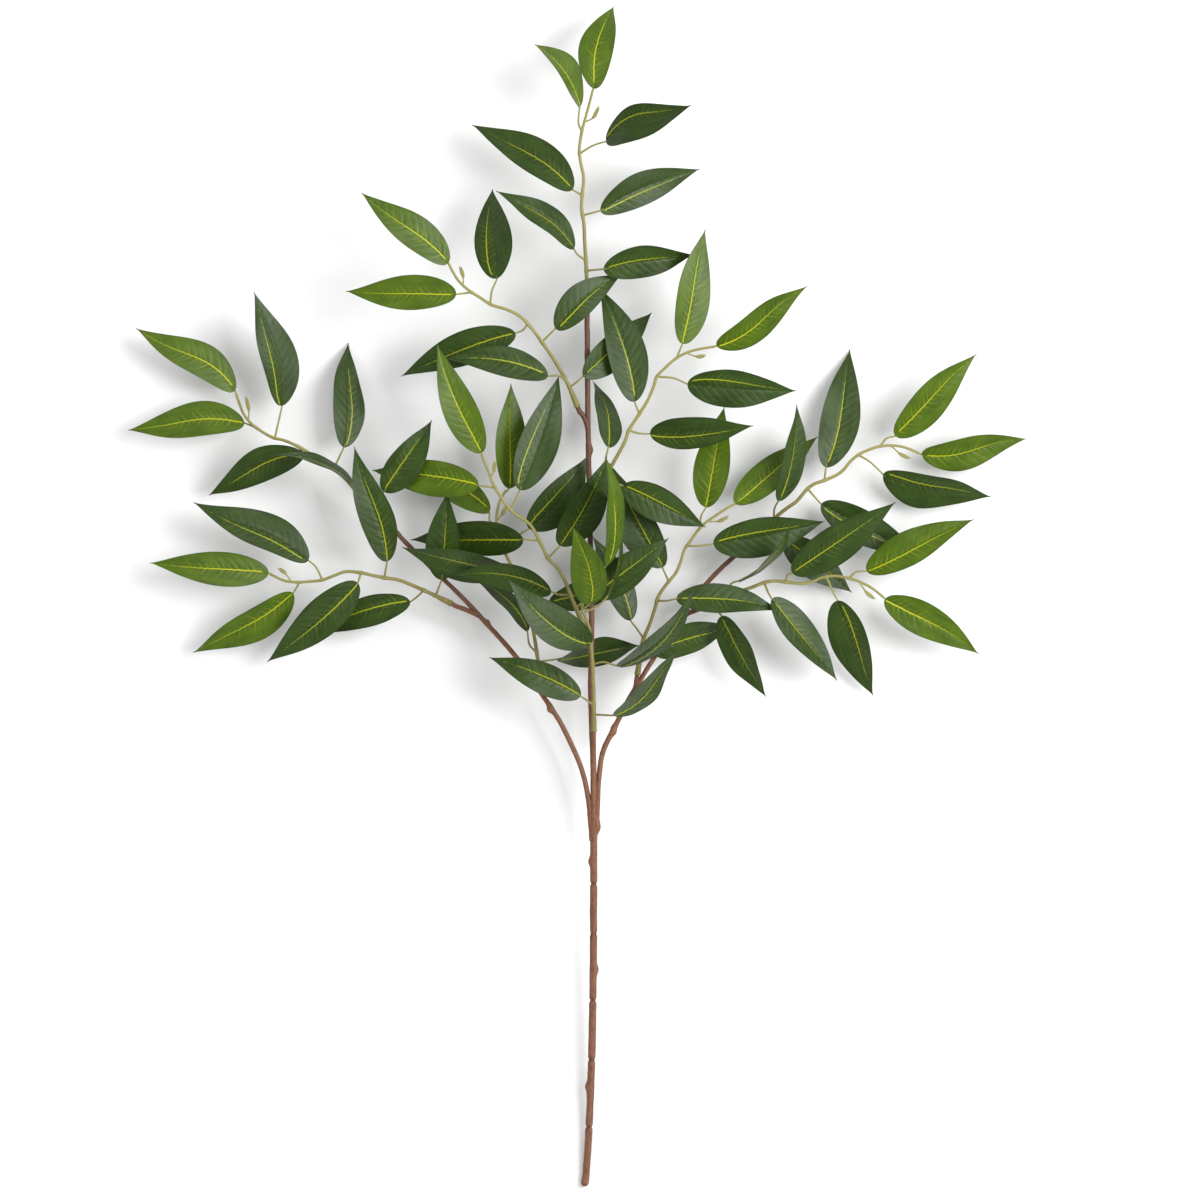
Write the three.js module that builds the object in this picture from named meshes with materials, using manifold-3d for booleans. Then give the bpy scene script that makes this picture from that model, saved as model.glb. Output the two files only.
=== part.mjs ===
// Ruscus stem: an artificial ruscus branch that lies on a table, its fullest side up.
// A brown moulded stem forks into two arms. It ends in eleven short pegs, and on each peg
// sits the sleeve of one leafy spray: a thin zigzag twig with five dark leaves, one young
// leaf, a bud and a young leaf at its end.
// Millimetres. +Y runs along the stem to its tip, +X to its right, +Z up from the table.
import * as THREE from 'three';
import Module from 'manifold-3d';

const wasm = await Module();
wasm.setup();

// Leaf blades. The seven blades of a spray come from one mould, narrowest second.
const LEAF_WIDTHS = [22.4, 20.4, 22.4, 25.4, 25.8, 23.6, 22.5];
const BLADE_THICKNESS = 0.7;
const BLADE_STATIONS = [0.045, 0.18, 0.41, 0.7, 1];
const BLADE_FOLD = 0.12;
const BLADE_BOW = 3;
const BLADE_TIP_WIDTH = 0.7;
const BASE_BLUNTNESS = 0.48;
const SHOULDER = 1.85;
const TIP_SHARPNESS = 1.3;

// Twigs, leaf stalks and buds
const TWIG_RADII = [1.2, 0.75];
const TWIG_SIDES = 5;
const STALK_RADIUS = 0.66;
const STALK_STEPS = 2;
const STALK_RISE = 0.55;
const END_STALK_PLACE = 0.98;
const BUD_RADII = [0.45, 0.5, 1.15, 1.1, 0.3];
const BUD_SIDES = 5;

// Sleeves of the twigs, and the pegs of the stem inside them
const SLEEVE_RADIUS = 2.1;
const SLEEVE_SIDES = 8;
const COLLAR_LENGTH = 1.4;
const WAIST_PLACE = 0.75;
const WAIST_RADIUS = SLEEVE_RADIUS * 0.86;
const TWIG_OVERLAP = 0.1;
const PEG_RADIUS = 1.1;
const PEG_SIDES = 6;
const PEG_LENGTH = 6.5;
const PEG_ROOT = 2;
const CLEARANCE = 0.36;
const MOUTH_RUN = 4;
const BORE_DEPTH = PEG_LENGTH + CLEARANCE;

// Brown stem: rows of x, y, height of the centreline, radius
const STEM_SIDES = 8;
const BRANCH_SIDES = 6;
const BRANCH_RADII = [1.2, 1.55];
const STEM_STEP = 18;
const STEM_JOINTS = [-344, -300.3, -261.8, -218.3, -185.8];
const JOINT_DEPTH = 0.24;
const JOINT_REACH = 1.4;
const FOOT_ROUNDING = [[-0.96, 0.35], [-0.62, 0.8]];
const MAIN_PATH = [
  [4.7, -380.6, 2.32, 2.5],
  [5.6, -374, 3.1, 2.25],
  [7.3, -348, 5.3, 2.4],
  [9.1, -303, 9.3, 2.4],
  [10.1, -250, 14, 2.4],
  [10.5, -190, 19.5, 2.4],
  [10.6, -150, 23.2, 2.3],
  [10.3, -110, 26.6, 2.0],
  [9.4, -85, 28.8, 1.9],
  [8.7, -55, 31.3, 1.85],
  [9.2, -20, 34, 1.8],
  [8.8, 15, 36.2, 1.8],
  [7.9, 60, 38.3, 1.75],
  [7.0, 100, 39.8, 1.75],
  [6.6, 130, 40.8, 1.75],
  [6.4, 165, 41.8, 1.75],
];
const LEFT_ARM_PATH = [
  [9.2, -158, 22.4, 1.5],
  [8.3, -145, 23.6, 1.65],
  [6.9, -130, 24.6, 1.65],
  [2.2, -110, 25.1, 1.65],
  [-9.6, -84, 25.3, 1.65],
  [-22, -64.5, 24.8, 1.6],
  [-38, -41, 23, 1.6],
  [-59, -17, 20.6, 1.55],
  [-78, 3, 18.6, 1.5],
  [-96, 20, 17.4, 1.45],
  [-112, 36, 17.4, 1.45],
];
const RIGHT_ARM_PATH = [
  [11.8, -153, 22.9, 1.5],
  [12.9, -138, 24.2, 1.65],
  [14, -116, 24.9, 1.7],
  [16.6, -100, 25, 1.7],
  [24.8, -83, 24.9, 1.7],
  [33, -67, 24.5, 1.7],
  [40, -55, 23.7, 1.65],
  [53, -34, 22.3, 1.55],
  [70, -8, 20, 1.5],
  [88, 13.5, 17, 1.5],
  [106, 30, 15, 1.45],
];

// Old leaf scars on the stem: x, y, height, radius
const SCAR_STRETCH = 1.7;
const SCARS = [
  [6.3, -318, 8, 1.3],
  [12.2, -241.6, 15, 1.3],
  [8.6, -171.5, 21.3, 1.3],
  [13, -149.6, 24, 1.5],
  [12.6, -145.6, 24.4, 1.2],
  [-18, -73, 25, 1.5],
  [-57.5, -15, 20.8, 1.3],
  [23.6, -86.5, 25, 1.4],
  [8.6, 95, 39.8, 1.3],
];

// Sprays. sleeve: its mouth and its end. twig: x and y of the points after the sleeve.
// heights: at the start, middle and end of the twig. prong: where the stem leads up to
// the sleeve. Each leaf: node on the twig, base and tip of its blade, and what differs
// from the mould. Leaves are listed from the sleeve up, and the last one ends the twig.
const SPRAYS = {
  spray_top: {
    sleeve: [[6.1, 190, 42.3], [6, 205, 42.6]],
    prong: [[6.2, 178, 42.1]],
    twig: [[5.6, 215], [4.7, 230], [4.2, 241], [2.8, 250], [3.1, 259], [4.1, 270], [2, 281],
      [1.3, 289], [2.7, 299], [5.2, 309], [8, 319], [10.2, 328]],
    heights: [42.6, 45, 46],
    leaves: [
      { node: [6, 210.5], base: [17, 211, 52], tip: [75, 221, 40], roll: 24, sway: -2.1, curl: -0.6 },
      { node: [5, 217], via: [0, 221], base: [-2, 225, 46],
        tip: [-52, 261, 62], roll: 36, sway: 3.9, curl: 1.4 },
      { node: [3, 246], base: [15, 249, 47], tip: [79, 277, 22], roll: 22, sway: -4.2, curl: -0.5 },
      { node: [3, 259], base: [-3, 263, 46], tip: [-68, 305, 34], roll: 22, sway: 3.7, curl: 1 },
      { node: [1.5, 286], via: [10, 291], base: [18.5, 294, 50],
        tip: [73, 315, 84], roll: -30, sway: -0.8, curl: -1.7 },
      { node: [3, 300], via: [0.7, 306], base: [2, 316, 50],
        tip: [-27, 354, 84], roll: 50, fold: 0.4, sway: 4.5 },
      { base: [10.5, 328, 46], tip: [23.5, 383, 12], roll: 4, bow: 6, sway: -4.7, curl: -0.8 },
    ],
    bud: { node: [5, 306], via: [10, 309], tip: [14, 317] },
  },
  spray_upper_left: {
    sleeve: [[0.2, 122.5, 43.2], [-5, 135, 46]],
    prong: [[6.7, 105, 40], [5.8, 112, 41], [3, 118, 42.2]],
    twig: [[-8, 141], [-12, 148], [-17, 156], [-22, 163], [-27, 170], [-32, 176], [-38, 181.5],
      [-46, 185.3], [-55, 188], [-63, 193], [-70, 197.5], [-76, 203], [-80, 209], [-83, 215]],
    heights: [46, 53, 58],
    leaves: [
      { node: [-5, 135], via: [-1, 138], base: [4, 142, 47.5], tip: [48, 184, 23], roll: 22 },
      { node: [-8, 141], via: [-13, 142.7], base: [-19, 142.5, 51],
        tip: [-85, 153, 54], roll: 16, sway: 4 },
      { node: [-32, 176], via: [-35, 172], base: [-40, 170, 49],
        tip: [-114, 142.5, 34], roll: -6, sway: 3 },
      { node: [-23, 164], base: [-14, 173, 51],
        tip: [29, 208, 42], roll: 4, width: 21, bow: 4, sway: -4.5 },
      { node: [-56, 188.5], via: [-55, 197], base: [-52, 205, 58],
        tip: [-55, 264, 22], roll: -20, curl: 0.5 },
      { node: [-68, 196], base: [-78, 195, 58], tip: [-149, 197, 50], roll: 14, sway: -1.1, curl: 0.6 },
      { base: [-83, 215, 58], tip: [-139, 260, 64], roll: 14, sway: 0.7, curl: 1 },
    ],
    bud: { node: [-73.5, 200.5], via: [-73.6, 206], tip: [-76, 213] },
  },
  spray_upper_right: {
    sleeve: [[13, 64.5, 39.5], [18.5, 75.5, 41]],
    prong: [[8.1, 52, 38], [9, 57, 38.6], [11, 61, 39.1]],
    twig: [[21, 82], [24, 88], [28, 95], [31, 101], [33, 107], [36, 112], [40, 118], [45, 126],
      [49, 135], [51.3, 142], [57, 148], [64, 154], [72, 158], [80, 160], [89.5, 161.5]],
    heights: [41, 46, 50],
    leaves: [
      { node: [18.5, 75.5], via: [23, 74], base: [29.5, 71.5, 41.5], tip: [83, 45, 36], roll: 6 },
      { node: [20.5, 81], via: [18.3, 88], base: [20.3, 96.5, 43],
        tip: [10, 140, 12], roll: 45, sway: 2.5 },
      { node: [34, 107], via: [40, 105.5], base: [47, 105, 45], tip: [113, 110, 66], roll: 22 },
      { node: [40, 118], base: [37, 126, 46.5], tip: [14, 200, 36], roll: 10, bow: 4, sway: 4 },
      { node: [51.3, 142], via: [62, 141], base: [71, 137, 50], tip: [141, 133, 44], roll: 20 },
      { node: [64, 154], base: [68, 163, 52], tip: [82.5, 237, 50], roll: 22, sway: -1.1, curl: 0.9 },
      { base: [90, 161.5, 50], tip: [148, 200, 58], roll: 35, sway: 0.4, curl: 2 },
    ],
    bud: { node: [70, 157], via: [77, 155], tip: [83, 156] },
  },
  spray_inner_left: {
    sleeve: [[4.5, -19.5, 39], [-1, -7, 41.5]],
    prong: [[8.9, -42, 32.3], [8.2, -35, 34.6], [6.6, -26.5, 37.4]],
    twig: [[-4, 0], [-7, 8], [-10, 14], [-14, 20], [-19, 25], [-23, 33], [-28, 43], [-32, 48],
      [-38, 52], [-44, 57], [-49, 64], [-54, 72], [-57, 80], [-60, 87], [-62, 93]],
    heights: [41.5, 45.5, 46],
    leaves: [
      { node: [-1, -7], via: [4, -3], base: [10, 0, 42.5], tip: [59, 38, 46], roll: 6 },
      { node: [-5, 1], via: [-12, 1.5], base: [-17, 3, 43], tip: [-80, 14, 39], roll: -28, sway: 7.5 },
      { node: [-19, 25], base: [-11, 33, 49], tip: [19, 90, 60], roll: 12, width: 24, sway: 3.5 },
      { node: [-25, 36], base: [-35, 37, 45.5], tip: [-108, 37, 21], roll: -26, bow: -3 },
      { node: [-43, 56], base: [-37, 69, 49], tip: [-12, 143, 40], roll: 10, sway: 1.5 },
      { node: [-54, 70], base: [-64, 72, 46.5], tip: [-133, 82, 19], roll: 6 },
      { base: [-62, 93, 46], tip: [-90, 162, 64], roll: 8, sway: -3 },
    ],
    bud: { node: [-56, 77], via: [-54, 81], tip: [-53.5, 88] },
  },
  spray_second_left: {
    sleeve: [[-23, -54.6, 27.8], [-25, -44, 28.4]],
    prong: [[-20.5, -66.5, 24.9], [-22.6, -61, 26]],
    twig: [[-26.3, -36], [-28, -25], [-31, -10], [-34.5, 0], [-38.5, 11], [-43, 21], [-47.5, 30],
      [-50.5, 38], [-52, 46], [-52, 54], [-50, 62], [-46, 69]],
    heights: [28.2, 31.5, 38],
    leaves: [
      { node: [-25.7, -42], base: [-13, -41, 24],
        tip: [40, -31.5, 16], roll: 30, twist: -100, bow: 0, sway: -1 },
      { node: [-26.7, -36], via: [-31, -31], base: [-32, -22, 28],
        tip: [-72, 14, 21], roll: 58, bow: 5, sway: 3 },
      { node: [-33, -5], base: [-18, -3, 28], tip: [38, 14, 8], roll: 34 },
      { node: [-37, 8], base: [-44, 15, 33], tip: [-113, 32, 44], roll: -40 },
      { node: [-47.5, 32], via: [-37, 40.5], base: [-31, 44, 35], tip: [6, 91, 30], roll: 14, sway: 3.7 },
      { node: [-52, 45], via: [-56.5, 49], base: [-57, 55, 31], tip: [-118, 84, 10], roll: 38, sway: 3 },
      { base: [-44, 70, 38], tip: [-43, 138, 31], roll: 26, bow: 1 },
    ],
    bud: { node: [-52, 49], via: [-49, 53], tip: [-45.5, 60] },
  },
  spray_front: {
    sleeve: [[10.5, -87, 33.6], [10.6, -74, 36.2]],
    prong: [[10.3, -114, 26.4], [10.4, -104, 28.4], [10.5, -95, 31.4]],
    twig: [[10.5, -60], [10, -45], [9, -33], [8, -22], [5.6, -14], [3.4, -8], [4, 0], [8, 8],
      [13, 14], [18, 19.5]],
    heights: [36.2, 50, 66],
    leaves: [
      { node: [10.6, -76], base: [24, -77, 40],
        tip: [64, -35, 58], roll: 52, bow: 3.5, sway: 1, curl: 1.9 },
      { node: [10.6, -70], via: [5, -66], base: [2, -64, 43], tip: [-57, -39, 46], roll: 4, sway: 1.1 },
      { node: [10, -43.5], via: [17, -42], base: [26, -45, 48],
        tip: [75, 5, 77], roll: 54, bow: 6, sway: 4 },
      { node: [8.6, -29], base: [9, -30, 51], tip: [-44, 11, 78], roll: 14, sway: -6.5 },
      { node: [4.2, -10], via: [13, -6], base: [20.2, 0.5, 58], tip: [10.2, 78, 69],
        roll: 83, twist: 12, bow: 11.5, sway: 8, width: 14 },
      { node: [3.4, -8], base: [8, -5, 62], tip: [-3, 45, 96], roll: -12, sway: 4.5 },
      { base: [19, 20, 66.5], tip: [18, 90, 86], roll: 58, bow: 5, sway: 2.5 },
    ],
    bud: { node: [8, 8], via: [7, 14], tip: [5, 20] },
  },
  spray_inner_right: {
    sleeve: [[38.7, -50.5, 25.6], [41, -37, 27.6]],
    prong: [[36.5, -60.5, 24.2], [38, -55.5, 24.8]],
    twig: [[42.3, -29], [44, -24], [47, -17], [50, -8], [52.3, 0], [56, 6], [60, 11], [64, 16],
      [67, 23], [69, 30], [73, 36], [78, 43], [83, 48], [90, 53], [96, 57], [101, 60]],
    heights: [27.6, 29.5, 30.5],
    leaves: [
      { node: [42.3, -29.5], base: [50, -36, 30], tip: [101, -20, 10], roll: 30, sway: -4.5 },
      { node: [43, -27], via: [38, -20], base: [34.5, -15, 27.5], tip: [10, 39, 22], roll: 25, sway: 1 },
      { node: [51.6, -2.4], via: [57, -2.6], base: [64, -1, 35],
        tip: [131, -9, 31], roll: -18, width: 20, sway: -2.8, curl: 0.4 },
      { node: [59, 10], base: [55, 19, 28], tip: [20.8, 87, 20], roll: 4, sway: -3.5 },
      { node: [70.5, 33], via: [78, 33], base: [88, 34, 34], tip: [160, 49, 28], roll: 12, sway: 1 },
      { node: [79.5, 45], via: [80, 52], base: [83, 58, 32], tip: [95, 123, 30], roll: -14 },
      { base: [102, 60.5, 30], tip: [156, 104, 8], roll: -22, bow: 1 },
    ],
    bud: { node: [84, 48.6], via: [91, 49], tip: [98, 52.5] },
  },
  spray_right_end: {
    sleeve: [[117, 39.5, 15.6], [126, 48.5, 18.5]],
    prong: [],
    twig: [[129, 52], [135, 57], [142, 62], [148, 69], [153, 73], [160, 75.5], [167, 78.5],
      [172, 82], [177, 88], [182, 92], [188, 95], [196, 97.5], [205, 98], [213, 96.5], [222, 92.7]],
    heights: [18.5, 23, 22],
    leaves: [
      { node: [124, 46.5], via: [129, 42], base: [134, 37, 14], tip: [178, 3, 8], roll: -6 },
      { node: [127.5, 50], via: [127.5, 57], base: [130.5, 62, 27],
        tip: [141.5, 124, 38], roll: 42, sway: 3 },
      { node: [149, 70], base: [158, 60, 19], tip: [224, 27, 12], roll: 6, sway: 1 },
      { node: [160, 75.5], base: [161, 84, 24],
        tip: [177, 161, 0.4], roll: 4, bow: 4, sway: 2.2, curl: 0.7 },
      { node: [182, 92], via: [190, 87], base: [198, 79, 22],
        tip: [268, 65, 14], roll: 32, sway: 2.7, curl: 1.9 },
      { node: [196, 97.5], via: [200, 102.5], base: [206, 104, 25],
        tip: [258, 157, 36], roll: 20, sway: -1.3, curl: 1 },
      { base: [223, 92, 22], tip: [291, 102.5, 18], roll: 25, sway: 1.4, curl: 1.8 },
    ],
    bud: { node: [203, 98], via: [208.5, 93], tip: [216, 89.5] },
  },
  spray_right_low: {
    sleeve: [[79.5, -7.7, 23], [91, -3.7, 25]],
    prong: [[60, -23, 21.4], [65, -15.5, 22], [72, -10.5, 22.4]],
    twig: [[100, 1], [108, 4.5], [114, 6.6], [120, 9], [127, 10.3], [135, 9.6], [145, 8.6],
      [152, 10], [158, 12.5], [166, 13.6], [174, 12.4], [182, 10], [190, 6], [198.5, -0.5]],
    heights: [25, 29, 28],
    leaves: [
      { node: [90, -4], via: [91.3, -9.5], base: [93, -12.5, 30], tip: [122, -64.5, 26], roll: 34 },
      { node: [95, -1.6], via: [99, 8], base: [105, 10, 31],
        tip: [137, 47, 64], roll: 76, bow: 5, sway: 2 },
      { node: [121, 9], via: [123.3, 3], base: [126, -1, 35],
        tip: [168, -54, 22], roll: -30, sway: 0.9, curl: 0.3 },
      { node: [134.5, 9.6], via: [136, 14], base: [139, 15.5, 34], tip: [205, 61, 50], roll: 14 },
      { node: [161, 13], via: [165, 4], base: [168, -2.5, 30],
        tip: [192, -64, 6], roll: 24, sway: 0.6, curl: -0.2 },
      { node: [176, 12], via: [180, 16], base: [187, 17, 31],
        tip: [256, 50, 38], roll: -20, sway: -0.3, curl: 0.3 },
      { base: [199, -1.5, 28], tip: [260, -37, 20], roll: 14, sway: -2.5, curl: 0.3 },
    ],
    bud: { node: [182, 10], via: [186.5, 3.5], tip: [193, -1.5] },
  },
  spray_left_end: {
    sleeve: [[-119.5, 44.5, 18.4], [-129, 54.5, 20.5]],
    prong: [],
    twig: [[-135, 60], [-141, 65], [-145.5, 71], [-152, 78], [-160, 84], [-168, 89], [-175, 94],
      [-182, 98], [-190, 101.4], [-197.5, 103.3], [-205, 107.5], [-211, 112], [-216, 118],
      [-219, 125], [-221.5, 132]],
    heights: [20.5, 22, 15],
    leaves: [
      { node: [-134.5, 59.5], base: [-125, 68, 34], tip: [-94, 114, 42], roll: 12, sway: 1 },
      { node: [-141, 65], base: [-144.5, 73, 27], tip: [-199, 91.5, 34], roll: 72, bow: 9, sway: -6 },
      { node: [-158, 82.6], base: [-151, 97, 21],
        tip: [-149, 165, 0.4], roll: 26, bow: 3, sway: -0.5, curl: 1.3 },
      { node: [-181, 97.5], base: [-178, 93, 19],
        tip: [-239, 66, 12], roll: -32, sway: 6.5, curl: 1.3 },
      { node: [-196, 103], via: [-194, 112], base: [-191, 124, 19],
        tip: [-209, 197, 34], roll: 26, sway: 3.5, curl: 1.5 },
      { node: [-208, 109.7], base: [-216, 113, 16],
        tip: [-291, 108, 20], roll: 14, sway: 2.7, curl: 1.6 },
      { base: [-222, 134, 15], tip: [-286, 174, 20], roll: 14, sway: 3.4, curl: 2.1 },
    ],
    bud: { node: [-213, 114.4], via: [-213, 121], tip: [-215.3, 130.5] },
  },
  spray_left_low: {
    sleeve: [[-81.5, -4.5, 21.4], [-92, 0.8, 22.4]],
    prong: [[-63, -13, 20.2], [-69.5, -9.5, 20.4], [-75, -7.2, 20.9]],
    twig: [[-100, 4.5], [-108, 8], [-116, 11], [-125, 12.4], [-133, 14], [-141, 15.8],
      [-150, 16.4], [-157, 14], [-165, 11], [-173, 10], [-182, 9.5], [-190, 10.6], [-199.5, 15]],
    heights: [22.4, 24, 24],
    leaves: [
      { node: [-91.5, 1], base: [-88, 11, 29], tip: [-84, 68, 35], roll: -8 },
      { node: [-99.5, 4.3], via: [-104, 0], base: [-108.5, -3, 20],
        tip: [-175, -24, 8], roll: 16, sway: 1 },
      { node: [-125, 12.4], base: [-123, 23, 31], tip: [-144, 97, 42], roll: 5, sway: 0.3, curl: 1.2 },
      { node: [-140, 15.6], base: [-142, 9, 29], tip: [-201, -42, 20], roll: -14, sway: -1 },
      { node: [-165, 11], via: [-169, 19], base: [-174, 24, 27],
        tip: [-248, 61, 34], roll: 24, sway: 2.2, curl: 2 },
      { node: [-180, 9.6], base: [-184, 2, 23], tip: [-249, -36, 14], roll: -26, sway: -3, curl: -1.2 },
      { base: [-200, 15.5, 24], tip: [-276.5, 22, 30], roll: 5, sway: -0.4 },
    ],
    bud: { node: [-185, 9.7], via: [-189, 15], tip: [-194, 18.5] },
  },
};

const UP = new THREE.Vector3(0, 0, 1);
const vector = (row) => new THREE.Vector3(row[0], row[1], row[2]);
const mix = (a, b, t) => a + (b - a) * t;

// A number read from evenly spaced values, by straight lines between them
function along(values, t) {
  const place = Math.min(Math.max(t, 0), 1) * (values.length - 1);
  const i = Math.min(Math.floor(place), values.length - 2);
  return mix(values[i], values[i + 1], place - i);
}

// The curve through all the points
function smooth(points) {
  return new THREE.CatmullRomCurve3(points, false, 'catmullrom', 0.5);
}

// A closed solid from shared vertices and the triangles between them
function solid(points, triangles) {
  const geometry = new THREE.BufferGeometry().setFromPoints(points);
  return new wasm.Manifold(new wasm.Mesh({
    numProp: 3,
    vertProperties: geometry.getAttribute('position').array,
    triVerts: Uint32Array.from(triangles),
  }));
}

// The solid inside a row of rings of equally many points, clockwise when seen along the row.
// The quads listed in turned are split on their other diagonal.
function loft(rings, turned = []) {
  const count = rings[0].length;
  const triangles = [];
  for (let i = 1; i < rings.length; i += 1) {
    const back = (i - 1) * count;
    const here = i * count;
    for (let k = 0; k < count; k += 1) {
      const next = (k + 1) % count;
      if (turned.includes(k)) {
        triangles.push(back + next, here + k, back + k);
        triangles.push(back + next, here + next, here + k);
      } else {
        triangles.push(back + k, here + next, here + k);
        triangles.push(back + k, back + next, here + next);
      }
    }
  }
  const last = (rings.length - 1) * count;
  for (let k = 1; k < count - 1; k += 1) {
    triangles.push(0, k + 1, k);
    triangles.push(last, last + k, last + k + 1);
  }
  return solid(rings.flat(), triangles);
}

// A tube through stations of { at, radius }, one of its flats turned to the table
function tube(stations, sides) {
  let across = null;
  const rings = stations.map(({ at, radius }, i) => {
    const before = stations[Math.max(i - 1, 0)].at;
    const after = stations[Math.min(i + 1, stations.length - 1)].at;
    const ahead = after.clone().sub(before).normalize();
    if (!across) across = new THREE.Vector3().crossVectors(ahead, UP);
    across.addScaledVector(ahead, -across.dot(ahead)).normalize();
    const over = new THREE.Vector3().crossVectors(across, ahead);
    const ring = [];
    for (let k = 0; k < sides; k += 1) {
      const angle = ((k + 0.5) / sides) * 2 * Math.PI;
      const p = at.clone().addScaledVector(across, radius * Math.sin(angle));
      ring.push(p.addScaledVector(over, radius * Math.cos(angle)));
    }
    return ring;
  });
  return loft(rings);
}

// The share of a blade's greatest width at a share of its length
function bladeOutline(t) {
  const turn = BASE_BLUNTNESS / (BASE_BLUNTNESS + SHOULDER * TIP_SHARPNESS);
  const widest = turn ** (1 / SHOULDER);
  const shape = (s) => s ** BASE_BLUNTNESS * (1 - s ** SHOULDER) ** TIP_SHARPNESS;
  return shape(t) / shape(widest);
}

// A blade's middle, its upward direction and its right-hand direction at a share of its length
function bladeFrame(leaf, t) {
  const base = vector(leaf.base);
  const lengthwise = vector(leaf.tip).sub(base);
  const ahead = lengthwise.clone().normalize();
  const face = UP.clone().addScaledVector(ahead, -UP.dot(ahead)).normalize();
  const roll = leaf.roll + (t - 0.5) * (leaf.twist ?? 0);
  face.applyAxisAngle(ahead, THREE.MathUtils.degToRad(roll));
  const side = new THREE.Vector3().crossVectors(ahead, face);
  const arch = 4 * t * (1 - t);
  const middle = base.addScaledVector(lengthwise, t);
  middle.addScaledVector(face, arch * (leaf.bow ?? BLADE_BOW));
  middle.addScaledVector(side, arch * (leaf.sway ?? 0));
  middle.addScaledVector(side, Math.sin(2 * Math.PI * t) * (leaf.curl ?? 0));
  return { middle, face, side };
}

// A ring of a leaf: left edge, rib and right edge above, then back below
function leafRing({ middle, face, side }, half, rise, rim, core) {
  const corners = [[-1, rim], [0, core], [1, rim], [1, -rim], [0, -core], [-1, -rim]];
  return corners.map(([edge, skin]) => {
    const p = middle.clone().addScaledVector(side, edge * half);
    return p.addScaledVector(face, Math.abs(edge) * rise + skin);
  });
}

// The rings of a blade
function bladeRings(leaf, width) {
  const skin = BLADE_THICKNESS / 2;
  return BLADE_STATIONS.map((t) => {
    const half = Math.max(bladeOutline(t) * width, BLADE_TIP_WIDTH) / 2;
    const rise = half * (leaf.fold ?? BLADE_FOLD);
    return leafRing(bladeFrame(leaf, t), half, rise, skin, skin);
  });
}

// The rings of a stalk, from the middle of the twig to the foot of the blade
function stalkRings(leaf, line) {
  const root = leaf.node ? nearest(line, leaf.node) : line.getPoint(END_STALK_PLACE);
  const foot = bladeFrame(leaf, 0);
  const points = [root];
  if (leaf.via) {
    points.push(new THREE.Vector3(...leaf.via, mix(root.z, foot.middle.z, STALK_RISE)));
  }
  points.push(foot.middle);
  points.push(bladeFrame(leaf, 0.1).middle);
  const curve = smooth(points);
  const reach = (points.length - 2) / (points.length - 1);
  const steps = leaf.via ? STALK_STEPS + 1 : STALK_STEPS;
  const side = foot.side.clone();
  const rings = [];
  for (let i = steps; i >= 0; i -= 1) {
    const t = (i / steps) * reach;
    const ahead = curve.getTangent(t);
    side.addScaledVector(ahead, -side.dot(ahead)).normalize();
    const face = new THREE.Vector3().crossVectors(side, ahead);
    const frame = { middle: curve.getPoint(t), face, side };
    rings.unshift(leafRing(frame, STALK_RADIUS, 0, STALK_RADIUS / 2, STALK_RADIUS));
  }
  return rings;
}

// A leaf and its stalk in one. Its under side is split like its upper side.
function leafSolid(leaf, width, line) {
  const rings = [...stalkRings(leaf, line), ...bladeRings(leaf, width)];
  return loft(rings, [3, 4]);
}

// The middle line of a spray's sleeve and twig
function twigLine(spray) {
  const [mouth, sleeveEnd] = spray.sleeve;
  const [start, middle, end] = spray.heights;
  const bend = 2 * (start + end) - 4 * middle;
  const rest = spray.twig.map(([x, y], i) => {
    const t = (i + 1) / spray.twig.length;
    return new THREE.Vector3(x, y, start + (end - start - bend) * t + bend * t * t);
  });
  return smooth([vector(mouth), vector(sleeveEnd), ...rest]);
}

// The place on a curve that is nearest in plan
function nearest(curve, [x, y]) {
  const tries = 400;
  let best = curve.getPoint(0);
  for (let i = 1; i <= tries; i += 1) {
    const p = curve.getPoint(i / tries);
    if (Math.hypot(p.x - x, p.y - y) < Math.hypot(best.x - x, best.y - y)) best = p;
  }
  return best;
}

// A bud on its short stalk
function bud(row, line) {
  const root = nearest(line, row.node);
  const via = new THREE.Vector3(...row.via, root.z + 1);
  const tip = new THREE.Vector3(...row.tip, root.z + 2);
  const curve = smooth([root, via, tip]);
  const stations = BUD_RADII.map((radius, i) => ({
    at: curve.getPoint(i / (BUD_RADII.length - 1)),
    radius,
  }));
  return tube(stations, BUD_SIDES);
}

// The straight line that a spray's sleeve and peg share: a point so far past the mouth
function onSleeveAxis(spray, distance) {
  const mouth = vector(spray.sleeve[0]);
  const ahead = vector(spray.sleeve[1]).sub(mouth).normalize();
  return mouth.addScaledVector(ahead, distance);
}

// A straight tube along that line, through rows of distance and radius
function onAxis(spray, rows, sides) {
  return tube(rows.map(([d, radius]) => ({ at: onSleeveAxis(spray, d), radius })), sides);
}

// The sleeve: a collar at its mouth that narrows to the twig, with the peg's hole
function sleeve(spray) {
  const length = vector(spray.sleeve[1]).distanceTo(vector(spray.sleeve[0]));
  const outside = onAxis(spray, [
    [0, SLEEVE_RADIUS],
    [COLLAR_LENGTH, SLEEVE_RADIUS],
    [length * WAIST_PLACE, WAIST_RADIUS],
    [length + 1, TWIG_RADII[0]],
  ], SLEEVE_SIDES);
  const boreRadius = PEG_RADIUS + CLEARANCE;
  return outside.subtract(onAxis(spray, [[-1, boreRadius], [BORE_DEPTH, boreRadius]], PEG_SIDES));
}

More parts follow.
